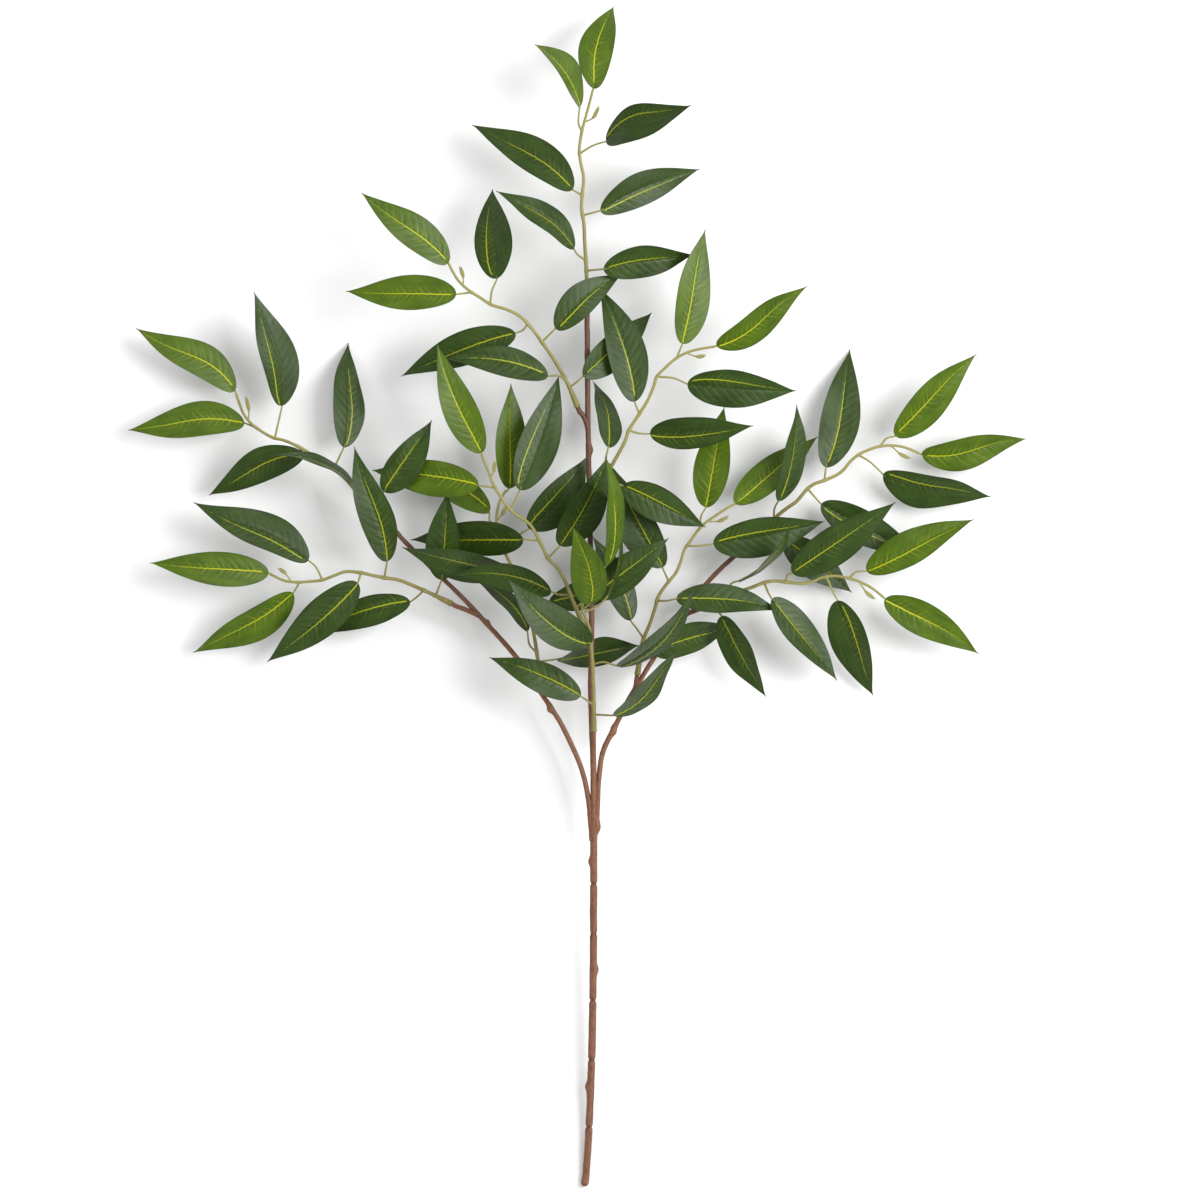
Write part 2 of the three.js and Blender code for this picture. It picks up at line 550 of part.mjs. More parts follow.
// The twig from just inside the end of the sleeve to its end leaf
function twig(spray, line) {
  const steps = spray.twig.length;
  const sleeveShare = 1 / (steps + 1);
  const stations = [];
  for (let i = 0; i <= steps; i += 1) {
    const t = i / steps;
    const at = line.getPoint(mix(sleeveShare * (1 - TWIG_OVERLAP), 1, t));
    stations.push({ at, radius: mix(...TWIG_RADII, t) });
  }
  return tube(stations, TWIG_SIDES);
}

// One spray, fused: sleeve, twig, seven leaves on their stalks and a bud
function spraySolid(spray) {
  const line = twigLine(spray);
  const pieces = [sleeve(spray), twig(spray, line), bud(spray.bud, line)];
  spray.leaves.forEach((leaf, i) => {
    pieces.push(leafSolid(leaf, leaf.width ?? LEAF_WIDTHS[i], line));
  });
  return wasm.Manifold.union(pieces);
}

// How thick the stem is beside the pinched joints between its moulded lengths
function jointFactor(y) {
  const pinch = STEM_JOINTS.map((joint) => Math.exp(-(((y - joint) / JOINT_REACH) ** 2)));
  return 1 - JOINT_DEPTH * Math.max(...pinch);
}

// The share along a rising curve at which it reaches a y
function shareAtHeight(curve, y) {
  let low = 0;
  let high = 1;
  for (let i = 0; i < 40; i += 1) {
    const middle = (low + high) / 2;
    if (curve.getPoint(middle).y < y) low = middle;
    else high = middle;
  }
  return low;
}

// Rounds off the cut end of the stem
function footCap({ at, radius }) {
  return FOOT_ROUNDING.map(([back, share]) => ({
    at: at.clone().add(new THREE.Vector3(0, back * radius, 0)),
    radius: radius * share,
  }));
}

// The stations of a stem from rows of x, y, height and radius on to a sleeve's mouth
function stemStations(rows, spray, joints) {
  const points = rows.map(vector);
  const radii = rows.map((row) => row[3]);
  for (const distance of [-MOUTH_RUN, -CLEARANCE]) {
    points.push(onSleeveAxis(spray, distance));
    radii.push(radii.at(-1));
  }
  const curve = smooth(points);
  const steps = Math.ceil(curve.getLength() / STEM_STEP);
  const places = [1 - 1 / curve.getLength()];
  for (let i = 0; i <= steps; i += 1) places.push(i / steps);
  for (const joint of joints) {
    for (const offset of [-JOINT_REACH, 0, JOINT_REACH]) {
      places.push(shareAtHeight(curve, joint + offset));
    }
  }
  return places.sort((a, b) => a - b).map((t) => {
    const at = curve.getPoint(t);
    return { at, radius: along(radii, t) * (joints.length ? jointFactor(at.y) : 1) };
  });
}

// The main stem, from its foot to the sleeve of the top spray
function mainStem() {
  const stations = stemStations(MAIN_PATH, SPRAYS.spray_top, STEM_JOINTS);
  return tube([...footCap(stations[0]), ...stations], STEM_SIDES);
}

// A branch of the stem that leads to a spray
function branch(rows, spray) {
  return tube(stemStations(rows, spray, []), BRANCH_SIDES);
}

// A short side branch, thinner where it starts inside the stem
function prong(spray) {
  const rows = spray.prong.map((row, i) => [...row, BRANCH_RADII[Math.min(i, 1)]]);
  return branch(rows, spray);
}

// The peg that a spray's sleeve is pushed onto
function peg(spray) {
  return onAxis(spray, [[-PEG_ROOT, PEG_RADIUS], [PEG_LENGTH, PEG_RADIUS]], PEG_SIDES);
}

// An old leaf scar: a double pyramid that stands half out of the stem
function scar([x, y, z, radius]) {
  const stretch = SCAR_STRETCH * radius;
  const ring = [[radius, 0, 0], [0, 0, -radius], [-radius, 0, 0], [0, 0, radius]];
  const points = [[0, -stretch, 0], ...ring, [0, stretch, 0]].map(
    ([dx, dy, dz]) => new THREE.Vector3(x + dx, y + dy, z + dz),
  );
  const triangles = [];
  for (let k = 0; k < 4; k += 1) {
    const a = 1 + k;
    const b = 1 + ((k + 1) % 4);
    triangles.push(0, b, a, 5, a, b);
  }
  return solid(points, triangles);
}

// The brown stem, fused: main stem, both arms, side branches, pegs and scars
function stemSolid() {
  const pieces = [
    mainStem(),
    branch(LEFT_ARM_PATH, SPRAYS.spray_left_end),
    branch(RIGHT_ARM_PATH, SPRAYS.spray_right_end),
    ...SCARS.map(scar),
  ];
  for (const spray of Object.values(SPRAYS)) {
    pieces.push(peg(spray));
    if (spray.prong.length > 0) pieces.push(prong(spray));
  }
  return wasm.Manifold.union(pieces);
}

// A named mesh from a solid
function named(name, body, material) {
  const { vertProperties, triVerts } = body.getMesh();
  const geometry = new THREE.BufferGeometry();
  geometry.setAttribute('position', new THREE.BufferAttribute(vertProperties, 3));
  geometry.setIndex(new THREE.BufferAttribute(triVerts, 1));
  geometry.computeVertexNormals();
  const mesh = new THREE.Mesh(geometry, material);
  mesh.name = name;
  return mesh;
}

const bark = new THREE.MeshStandardMaterial({ color: 0x7d5446, roughness: 0.6, metalness: 0 });
const foliage = new THREE.MeshStandardMaterial({ color: 0x35512b, roughness: 0.5, metalness: 0 });

const ruscus = new THREE.Group();
ruscus.add(named('stem', stemSolid(), bark));
for (const [name, spray] of Object.entries(SPRAYS)) {
  ruscus.add(named(name, spraySolid(spray), foliage));
}

export default ruscus;
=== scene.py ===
"""An artificial ruscus stem: a forked brown stem whose eleven pegs each carry a leafy spray.

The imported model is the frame. Every spray of it is replaced by its moulded twig and its
printed blades, and the stem by one with bark relief. Rows are in millimetres, in the frame's
axes: +Y runs to the stem's tip, +X to its right and +Z up from the table.
"""

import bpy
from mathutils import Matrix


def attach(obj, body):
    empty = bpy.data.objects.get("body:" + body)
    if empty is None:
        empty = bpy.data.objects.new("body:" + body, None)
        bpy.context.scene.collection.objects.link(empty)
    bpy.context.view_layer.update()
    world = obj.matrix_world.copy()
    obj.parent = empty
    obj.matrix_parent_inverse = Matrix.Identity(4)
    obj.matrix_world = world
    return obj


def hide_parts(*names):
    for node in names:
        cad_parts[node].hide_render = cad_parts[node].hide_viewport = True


bl_info = {
    "name": "Ruscus Stem",
    "version": (1, 0, 0),
    "blender": (4, 5, 0),
    "location": "View3D > Sidebar > Ruscus",
    "description": "Builds the bark, twigs and printed blades of an artificial ruscus stem",
    "category": "Add Mesh",
}

import math
import random
from types import SimpleNamespace
from typing import NamedTuple

import bpy
import numpy as np
from bpy.props import FloatProperty, FloatVectorProperty, PointerProperty
from mathutils import Vector, noise

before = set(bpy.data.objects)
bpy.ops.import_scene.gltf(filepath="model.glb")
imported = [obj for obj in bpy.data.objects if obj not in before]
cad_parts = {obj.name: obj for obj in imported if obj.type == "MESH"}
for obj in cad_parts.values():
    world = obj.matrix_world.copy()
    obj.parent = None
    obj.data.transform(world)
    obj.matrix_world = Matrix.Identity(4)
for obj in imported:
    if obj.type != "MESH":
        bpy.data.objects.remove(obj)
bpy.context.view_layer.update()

MM = 0.001

# The main stem and its two arms: rows of x, y, height of the middle and radius
MAIN_PATH = [
    (4.7, -380.6, 2.32, 2.5), (5.6, -374, 3.1, 2.25), (7.3, -348, 5.3, 2.4), (9.1, -303, 9.3, 2.4),
    (10.1, -250, 14, 2.4), (10.5, -190, 19.5, 2.4), (10.6, -150, 23.2, 2.3), (10.3, -110, 26.6, 2.0),
    (9.4, -85, 28.8, 1.9), (8.7, -55, 31.3, 1.85), (9.2, -20, 34, 1.8), (8.8, 15, 36.2, 1.8),
    (7.9, 60, 38.3, 1.75), (7.0, 100, 39.8, 1.75), (6.6, 130, 40.8, 1.75), (6.4, 165, 41.8, 1.75),
]
LEFT_ARM_PATH = [
    (9.2, -158, 22.4, 1.5), (8.3, -145, 23.6, 1.65), (6.9, -130, 24.6, 1.65), (2.2, -110, 25.1, 1.65),
    (-9.6, -84, 25.3, 1.65), (-22, -64.5, 24.8, 1.6), (-38, -41, 23, 1.6), (-59, -17, 20.6, 1.55),
    (-78, 3, 18.6, 1.5), (-96, 20, 17.4, 1.45), (-112, 36, 17.4, 1.45),
]
RIGHT_ARM_PATH = [
    (11.8, -153, 22.9, 1.5), (12.9, -138, 24.2, 1.65), (14, -116, 24.9, 1.7), (16.6, -100, 25, 1.7),
    (24.8, -83, 24.9, 1.7), (33, -67, 24.5, 1.7), (40, -55, 23.7, 1.65), (53, -34, 22.3, 1.55),
    (70, -8, 20, 1.5), (88, 13.5, 17, 1.5), (106, 30, 15, 1.45),
]
# Old leaf scars: x, y, height, radius
SCARS = [
    (6.3, -318, 8, 1.3), (12.2, -241.6, 15, 1.3), (8.6, -171.5, 21.3, 1.3), (13, -149.6, 24, 1.5),
    (12.6, -145.6, 24.4, 1.2), (-18, -73, 25, 1.5), (-57.5, -15, 20.8, 1.3), (23.6, -86.5, 25, 1.4),
    (8.6, 95, 39.8, 1.3),
]

# The usual blade: the slope of its folded halves, and its arch
USUAL_FOLD = 0.12
USUAL_BOW = 3.0


class Leaf(NamedTuple):
    """A leaf's places, and what differs from the mould's usual blade.

    node is where its stalk leaves the twig, via a bend of the stalk, and base and tip are the
    blade's. roll turns the blade about its length, in degrees, and twist is how far that changes from
    base to tip. bow arches it upwards, sway to its side, and curl one way and back. rib is where its
    printed rib runs, at its base and near its tip, as shares of the half width.
    """

    node: tuple
    base: tuple
    tip: tuple
    roll: float
    via: tuple = None
    twist: float = 0
    bow: float = USUAL_BOW
    sway: float = 0
    curl: float = 0
    fold: float = USUAL_FOLD
    width: float = None
    rib: tuple = None


def spray_of(*leaves, **places):
    """A spray: its leaves from the sleeve to the tip, and its places.

    sleeve is its mouth and its end, prong is where the stem leads up to it, and twig is x and y of
    the points after it. heights are the twig's at its start, middle and end. bud is where the bud's
    stalk leaves the twig, the stalk's bend and the bud's tip.
    """
    return SimpleNamespace(leaves=leaves, **places)


# The eleven sprays, with their leaves from the sleeve to the tip
SPRAYS = {
    "spray_top": spray_of(
        Leaf((6, 210.5), (17, 211, 52), (75, 221, 40), 24, sway=-2.1, curl=-0.6),
        Leaf((5, 217), (-2, 225, 46), (-52, 261, 62), 36, via=(0, 221), sway=3.9, curl=1.4,
            rib=(-0.1, -0.1)),
        Leaf((3, 246), (15, 249, 47), (79, 277, 22), 22, sway=-4.2, curl=-0.5),
        Leaf((3, 259), (-3, 263, 46), (-68, 305, 34), 22, sway=3.7, curl=1),
        Leaf((1.5, 286), (18.5, 294, 50), (73, 315, 84), -30, via=(10, 291), sway=-0.8, curl=-1.7,
            rib=(-0.45, -0.4)),
        Leaf((3, 300), (2, 316, 50), (-27, 354, 84), 50, via=(0.7, 306), sway=4.5, fold=0.4),
        Leaf(None, (10.5, 328, 46), (23.5, 383, 12), 4, bow=6, sway=-4.7, curl=-0.8),
        sleeve=[(6.1, 190, 42.3), (6, 205, 42.6)], prong=[(6.2, 178, 42.1)],
        twig=[(5.6, 215), (4.7, 230), (4.2, 241), (2.8, 250), (3.1, 259), (4.1, 270), (2, 281),
            (1.3, 289), (2.7, 299), (5.2, 309), (8, 319), (10.2, 328)],
        heights=(42.6, 45, 46), bud=((5, 306), (10, 309), (14, 317)),
    ),
    "spray_upper_left": spray_of(
        Leaf((-5, 135), (4, 142, 47.5), (48, 184, 23), 22, via=(-1, 138)),
        Leaf((-8, 141), (-19, 142.5, 51), (-85, 153, 54), 16, via=(-13, 142.7), sway=4),
        Leaf((-32, 176), (-40, 170, 49), (-114, 142.5, 34), -6, via=(-35, 172), sway=3,
            rib=(0.05, -0.18)),
        Leaf((-23, 164), (-14, 173, 51), (29, 208, 42), 4, bow=4, sway=-4.5, width=21, rib=(0.32, 0.1)),
        Leaf((-56, 188.5), (-52, 205, 58), (-55, 264, 22), -20, via=(-55, 197), curl=0.5),
        Leaf((-68, 196), (-78, 195, 58), (-149, 197, 50), 14, sway=-1.1, curl=0.6, rib=(-0.12, 0.05)),
        Leaf(None, (-83, 215, 58), (-139, 260, 64), 14, sway=0.7, curl=1, rib=(0.05, -0.12)),
        sleeve=[(0.2, 122.5, 43.2), (-5, 135, 46)],
        prong=[(6.7, 105, 40), (5.8, 112, 41), (3, 118, 42.2)],
        twig=[(-8, 141), (-12, 148), (-17, 156), (-22, 163), (-27, 170), (-32, 176), (-38, 181.5),
            (-46, 185.3), (-55, 188), (-63, 193), (-70, 197.5), (-76, 203), (-80, 209), (-83, 215)],
        heights=(46, 53, 58), bud=((-73.5, 200.5), (-73.6, 206), (-76, 213)),
    ),
    "spray_upper_right": spray_of(
        Leaf((18.5, 75.5), (29.5, 71.5, 41.5), (83, 45, 36), 6, via=(23, 74), rib=(-0.18, -0.1)),
        Leaf((20.5, 81), (20.3, 96.5, 43), (10, 140, 12), 45, via=(18.3, 88), sway=2.5,
            rib=(-0.03, 0.2)),
        Leaf((34, 107), (47, 105, 45), (113, 110, 66), 22, via=(40, 105.5)),
        Leaf((40, 118), (37, 126, 46.5), (14, 200, 36), 10, bow=4, sway=4, rib=(0.05, -0.25)),
        Leaf((51.3, 142), (71, 137, 50), (141, 133, 44), 20, via=(62, 141)),
        Leaf((64, 154), (68, 163, 52), (82.5, 237, 50), 22, sway=-1.1, curl=0.9, rib=(-0.12, 0.05)),
        Leaf(None, (90, 161.5, 50), (148, 200, 58), 35, sway=0.4, curl=2, rib=(0.07, -0.07)),
        sleeve=[(13, 64.5, 39.5), (18.5, 75.5, 41)],
        prong=[(8.1, 52, 38), (9, 57, 38.6), (11, 61, 39.1)],
        twig=[(21, 82), (24, 88), (28, 95), (31, 101), (33, 107), (36, 112), (40, 118), (45, 126),
            (49, 135), (51.3, 142), (57, 148), (64, 154), (72, 158), (80, 160), (89.5, 161.5)],
        heights=(41, 46, 50), bud=((70, 157), (77, 155), (83, 156)),
    ),
    "spray_inner_left": spray_of(
        Leaf((-1, -7), (10, 0, 42.5), (59, 38, 46), 6, via=(4, -3), rib=(-0.1, 0)),
        Leaf((-5, 1), (-17, 3, 43), (-80, 14, 39), -28, via=(-12, 1.5), sway=7.5, rib=(0.2, -0.03)),
        Leaf((-19, 25), (-11, 33, 49), (19, 90, 60), 12, sway=3.5, width=24, rib=(-0.12, -0.2)),
        Leaf((-25, 36), (-35, 37, 45.5), (-108, 37, 21), -26, bow=-3, rib=(-0.07, -0.2)),
        Leaf((-43, 56), (-37, 69, 49), (-12, 143, 40), 10, sway=1.5, rib=(-0.5, -0.28)),
        Leaf((-54, 70), (-64, 72, 46.5), (-133, 82, 19), 6, rib=(0.15, 0.1)),
        Leaf(None, (-62, 93, 46), (-90, 162, 64), 8, sway=-3),
        sleeve=[(4.5, -19.5, 39), (-1, -7, 41.5)],
        prong=[(8.9, -42, 32.3), (8.2, -35, 34.6), (6.6, -26.5, 37.4)],
        twig=[(-4, 0), (-7, 8), (-10, 14), (-14, 20), (-19, 25), (-23, 33), (-28, 43), (-32, 48),
            (-38, 52), (-44, 57), (-49, 64), (-54, 72), (-57, 80), (-60, 87), (-62, 93)],
        heights=(41.5, 45.5, 46), bud=((-56, 77), (-54, 81), (-53.5, 88)),
    ),
    "spray_second_left": spray_of(
        Leaf((-25.7, -42), (-13, -41, 24), (40, -31.5, 16), 30, twist=-100, bow=0, sway=-1,
            rib=(0.15, 0.07)),
        Leaf((-26.7, -36), (-32, -22, 28), (-72, 14, 21), 58, via=(-31, -31), bow=5, sway=3,
            rib=(0.18, -0.1)),
        Leaf((-33, -5), (-18, -3, 28), (38, 14, 8), 34, rib=(0.03, -0.2)),
        Leaf((-37, 8), (-44, 15, 33), (-113, 32, 44), -40, rib=(0.15, 0.2)),
        Leaf((-47.5, 32), (-31, 44, 35), (6, 91, 30), 14, via=(-37, 40.5), sway=3.7, rib=(-0.4, -0.33)),
        Leaf((-52, 45), (-57, 55, 31), (-118, 84, 10), 38, via=(-56.5, 49), sway=3, rib=(0.3, 0.05)),
        Leaf(None, (-44, 70, 38), (-43, 138, 31), 26, bow=1, rib=(0.1, -0.2)),
        sleeve=[(-23, -54.6, 27.8), (-25, -44, 28.4)], prong=[(-20.5, -66.5, 24.9), (-22.6, -61, 26)],
        twig=[(-26.3, -36), (-28, -25), (-31, -10), (-34.5, 0), (-38.5, 11), (-43, 21), (-47.5, 30),
            (-50.5, 38), (-52, 46), (-52, 54), (-50, 62), (-46, 69)],
        heights=(28.2, 31.5, 38), bud=((-52, 49), (-49, 53), (-45.5, 60)),
    ),
    "spray_front": spray_of(
        Leaf((10.6, -76), (24, -77, 40), (64, -35, 58), 52, bow=3.5, sway=1, curl=1.9, rib=(0.1, 0.25)),
        Leaf((10.6, -70), (2, -64, 43), (-57, -39, 46), 4, via=(5, -66), sway=1.1, rib=(0.12, 0.15)),
        Leaf((10, -43.5), (26, -45, 48), (75, 5, 77), 54, via=(17, -42), bow=6, sway=4, rib=(0.57, 0)),
        Leaf((8.6, -29), (9, -30, 51), (-44, 11, 78), 14, sway=-6.5, rib=(-0.22, 0.15)),
        Leaf((4.2, -10), (20.2, 0.5, 58), (10.2, 78, 69), 83, via=(13, -6), twist=12, bow=11.5, sway=8,
            width=14, rib=(0, 0)),
        Leaf((3.4, -8), (8, -5, 62), (-3, 45, 96), -12, sway=4.5, rib=(0.2, -0.07)),
        Leaf(None, (19, 20, 66.5), (18, 90, 86), 58, bow=5, sway=2.5, rib=(0.35, -0.3)),
        sleeve=[(10.5, -87, 33.6), (10.6, -74, 36.2)],
        prong=[(10.3, -114, 26.4), (10.4, -104, 28.4), (10.5, -95, 31.4)],
        twig=[(10.5, -60), (10, -45), (9, -33), (8, -22), (5.6, -14), (3.4, -8), (4, 0), (8, 8),
            (13, 14), (18, 19.5)],
        heights=(36.2, 50, 66), bud=((8, 8), (7, 14), (5, 20)),
    ),
    "spray_inner_right": spray_of(
        Leaf((42.3, -29.5), (50, -36, 30), (101, -20, 10), 30, sway=-4.5, rib=(-0.1, 0.2)),
        Leaf((43, -27), (34.5, -15, 27.5), (10, 39, 22), 25, via=(38, -20), sway=1, rib=(0.18, 0.15)),
        Leaf((51.6, -2.4), (64, -1, 35), (131, -9, 31), -18, via=(57, -2.6), sway=-2.8, curl=0.4,
            width=20, rib=(0, 0.03)),
        Leaf((59, 10), (55, 19, 28), (20.8, 87, 20), 4, sway=-3.5, rib=(0.18, 0.25)),
        Leaf((70.5, 33), (88, 34, 34), (160, 49, 28), 12, via=(78, 33), sway=1, rib=(-0.3, -0.22)),
        Leaf((79.5, 45), (83, 58, 32), (95, 123, 30), -14, via=(80, 52), rib=(0.05, 0.05)),
        Leaf(None, (102, 60.5, 30), (156, 104, 8), -22, bow=1),
        sleeve=[(38.7, -50.5, 25.6), (41, -37, 27.6)], prong=[(36.5, -60.5, 24.2), (38, -55.5, 24.8)],
        twig=[(42.3, -29), (44, -24), (47, -17), (50, -8), (52.3, 0), (56, 6), (60, 11), (64, 16),
            (67, 23), (69, 30), (73, 36), (78, 43), (83, 48), (90, 53), (96, 57), (101, 60)],
        heights=(27.6, 29.5, 30.5), bud=((84, 48.6), (91, 49), (98, 52.5)),
    ),
    "spray_right_end": spray_of(
        Leaf((124, 46.5), (134, 37, 14), (178, 3, 8), -6, via=(129, 42)),
        Leaf((127.5, 50), (130.5, 62, 27), (141.5, 124, 38), 42, via=(127.5, 57), sway=3,
            rib=(0.05, -0.2)),
        Leaf((149, 70), (158, 60, 19), (224, 27, 12), 6, sway=1),
        Leaf((160, 75.5), (161, 84, 24), (177, 161, 0.4), 4, bow=4, sway=2.2, curl=0.7,
            rib=(0.05, -0.07)),
        Leaf((182, 92), (198, 79, 22), (268, 65, 14), 32, via=(190, 87), sway=2.7, curl=1.9),
        Leaf((196, 97.5), (206, 104, 25), (258, 157, 36), 20, via=(200, 102.5), sway=-1.3, curl=1,
            rib=(-0.18, 0)),
        Leaf(None, (223, 92, 22), (291, 102.5, 18), 25, sway=1.4, curl=1.8, rib=(0, -0.15)),
        sleeve=[(117, 39.5, 15.6), (126, 48.5, 18.5)], prong=[],
        twig=[(129, 52), (135, 57), (142, 62), (148, 69), (153, 73), (160, 75.5), (167, 78.5),
            (172, 82), (177, 88), (182, 92), (188, 95), (196, 97.5), (205, 98), (213, 96.5),
            (222, 92.7)],
        heights=(18.5, 23, 22), bud=((203, 98), (208.5, 93), (216, 89.5)),
    ),
    "spray_right_low": spray_of(
        Leaf((90, -4), (93, -12.5, 30), (122, -64.5, 26), 34, via=(91.3, -9.5), rib=(-0.05, -0.07)),
        Leaf((95, -1.6), (105, 10, 31), (137, 47, 64), 76, via=(99, 8), bow=5, sway=2),
        Leaf((121, 9), (126, -1, 35), (168, -54, 22), -30, via=(123.3, 3), sway=0.9, curl=0.3,
            rib=(0.05, 0.12)),
        Leaf((134.5, 9.6), (139, 15.5, 34), (205, 61, 50), 14, via=(136, 14), rib=(-0.05, -0.05)),
        Leaf((161, 13), (168, -2.5, 30), (192, -64, 6), 24, via=(165, 4), sway=0.6, curl=-0.2,
            rib=(-0.38, -0.28)),
        Leaf((176, 12), (187, 17, 31), (256, 50, 38), -20, via=(180, 16), sway=-0.3, curl=0.3,
            rib=(0.2, 0.15)),
        Leaf(None, (199, -1.5, 28), (260, -37, 20), 14, sway=-2.5, curl=0.3),
        sleeve=[(79.5, -7.7, 23), (91, -3.7, 25)],
        prong=[(60, -23, 21.4), (65, -15.5, 22), (72, -10.5, 22.4)],
        twig=[(100, 1), (108, 4.5), (114, 6.6), (120, 9), (127, 10.3), (135, 9.6), (145, 8.6),
            (152, 10), (158, 12.5), (166, 13.6), (174, 12.4), (182, 10), (190, 6), (198.5, -0.5)],
        heights=(25, 29, 28), bud=((182, 10), (186.5, 3.5), (193, -1.5)),
    ),
    "spray_left_end": spray_of(
        Leaf((-134.5, 59.5), (-125, 68, 34), (-94, 114, 42), 12, sway=1, rib=(-0.15, -0.22)),
        Leaf((-141, 65), (-144.5, 73, 27), (-199, 91.5, 34), 72, bow=9, sway=-6, rib=(-0.6, -0.4)),
        Leaf((-158, 82.6), (-151, 97, 21), (-149, 165, 0.4), 26, bow=3, sway=-0.5, curl=1.3),
        Leaf((-181, 97.5), (-178, 93, 19), (-239, 66, 12), -32, sway=6.5, curl=1.3),
        Leaf((-196, 103), (-191, 124, 19), (-209, 197, 34), 26, via=(-194, 112), sway=3.5, curl=1.5,
            rib=(-0.6, -0.18)),
        Leaf((-208, 109.7), (-216, 113, 16), (-291, 108, 20), 14, sway=2.7, curl=1.6,
            rib=(-0.07, 0.07)),
        Leaf(None, (-222, 134, 15), (-286, 174, 20), 14, sway=3.4, curl=2.1),
        sleeve=[(-119.5, 44.5, 18.4), (-129, 54.5, 20.5)], prong=[],
        twig=[(-135, 60), (-141, 65), (-145.5, 71), (-152, 78), (-160, 84), (-168, 89), (-175, 94),
            (-182, 98), (-190, 101.4), (-197.5, 103.3), (-205, 107.5), (-211, 112), (-216, 118),
            (-219, 125), (-221.5, 132)],
        heights=(20.5, 22, 15), bud=((-213, 114.4), (-213, 121), (-215.3, 130.5)),
    ),
    "spray_left_low": spray_of(
        Leaf((-91.5, 1), (-88, 11, 29), (-84, 68, 35), -8, rib=(0.07, 0.1)),
        Leaf((-99.5, 4.3), (-108.5, -3, 20), (-175, -24, 8), 16, via=(-104, 0), sway=1,
            rib=(0.18, 0.15)),
        Leaf((-125, 12.4), (-123, 23, 31), (-144, 97, 42), 5, sway=0.3, curl=1.2, rib=(0.07, 0.25)),
        Leaf((-140, 15.6), (-142, 9, 29), (-201, -42, 20), -14, sway=-1, rib=(-0.1, -0.05)),
        Leaf((-165, 11), (-174, 24, 27), (-248, 61, 34), 24, via=(-169, 19), sway=2.2, curl=2,
            rib=(-0.43, -0.18)),
        Leaf((-180, 9.6), (-184, 2, 23), (-249, -36, 14), -26, sway=-3, curl=-1.2, rib=(0.2, 0.12)),
        Leaf(None, (-200, 15.5, 24), (-276.5, 22, 30), 5, sway=-0.4),
        sleeve=[(-81.5, -4.5, 21.4), (-92, 0.8, 22.4)],
        prong=[(-63, -13, 20.2), (-69.5, -9.5, 20.4), (-75, -7.2, 20.9)],
        twig=[(-100, 4.5), (-108, 8), (-116, 11), (-125, 12.4), (-133, 14), (-141, 15.8), (-150, 16.4),
            (-157, 14), (-165, 11), (-173, 10), (-182, 9.5), (-190, 10.6), (-199.5, 15)],
        heights=(22.4, 24, 24), bud=((-185, 9.7), (-189, 15), (-194, 18.5)),
    ),
}

# Blades: widths and printed ribs of a spray's seven, which two are young, and the mould's outline
BLADE_WIDTHS = (22.4, 20.4, 22.4, 25.4, 25.8, 23.6, 22.5)
BLADE_RIBS = ((-0.1, -0.12), (0.1, 0), (0.25, 0.2), (0, -0.12), (-0.52, -0.18), (0, 0), (0.1, -0.14))
YOUNG_BLADES = (5, 6)
BASE_BLUNTNESS = 0.48
SHOULDER = 1.85
TIP_SHARPNESS = 1.3
TIP_WIDTH = 0.5

# A blade's mesh: its rows and columns, and how they crowd towards its base and its middle
ROWS = 72
COLUMNS = 20
BASE_CROWDING = 1.5
MIDDLE_CROWDING = 1.25

# A blade's section: the rounding of its fold and the drop with it, its flat edges, crease and waves
FOLD_ROUNDING = 0.012
FOLD_DROP = 0.11
EDGE_FLATTENING = 0.2
CREASE_HALF = 0.8
FEWEST_WAVES = 1.2

# Where along a blade its waves and pillows come in and go out, and where its crease goes out
RELIEF_IN = (0, 0.2)
RELIEF_OUT = (1, 0.75)
CREASE_OUT = (0.97, 0.7)

# What is pressed and printed on a blade: its side veins, side strokes and fine threads
VEIN_SPACING = 6.2
VEIN_SLOPE = 0.72
VEIN_CURVE = 0.03
STROKE_SPACING = 3.8
SHORTEST_STROKE = 2.5
STROKE_SPREAD = 7.5
FINE_SPACING = 1.3

# Twigs: radii at the sleeve and at the tip, where they start in the sleeve, and a swelling's reach
TWIG_RADII = (1.2, 0.75)
TWIG_START = 0.9
TWIG_TAPER = 0.5
SWELLING_REACH = 1.9

# Stalks: the last one's place, the root's width, the bend's height, mesh steps and tapered ends
END_STALK_PLACE = 0.97
STALK_ROOT = 1.15
STALK_RISE = 0.55
STALK_STEPS = 7
STALK_TAPERS = (0.7, 0.4)

# The rib behind a blade: rows of place along the blade and share of the rib's radius
BACK_RIB = ((0, 1), (0.04, 0.95), (0.12, 0.85), (0.25, 0.7), (0.42, 0.55), (0.6, 0.4), (0.78, 0.22))
RIB_SINK = 0.55
RIB_UNDER_CREASE = 0.75

# Buds: rows of place and radius of the long scale, and of distance aside and radius of the short one
LONG_SCALE = (
    (0, 0.6), (0.15, 0.5), (0.3, 0.45), (0.42, 0.5), (0.5, 0.75), (0.58, 1.0), (0.68, 1.12),
    (0.78, 1.0), (0.88, 0.66), (0.95, 0.36), (1, 0.1),
)
SHORT_SCALE = (
    (0.25, 0.2), (0.7, 0.42), (1.05, 0.55), (1.2, 0.6), (1.25, 0.5), (1.3, 0.3), (1.45, 0.08),
)
SHORT_SCALE_STEPS = slice(3, 10)
SHORT_SCALE_SIDE = (0.8, 0.45)

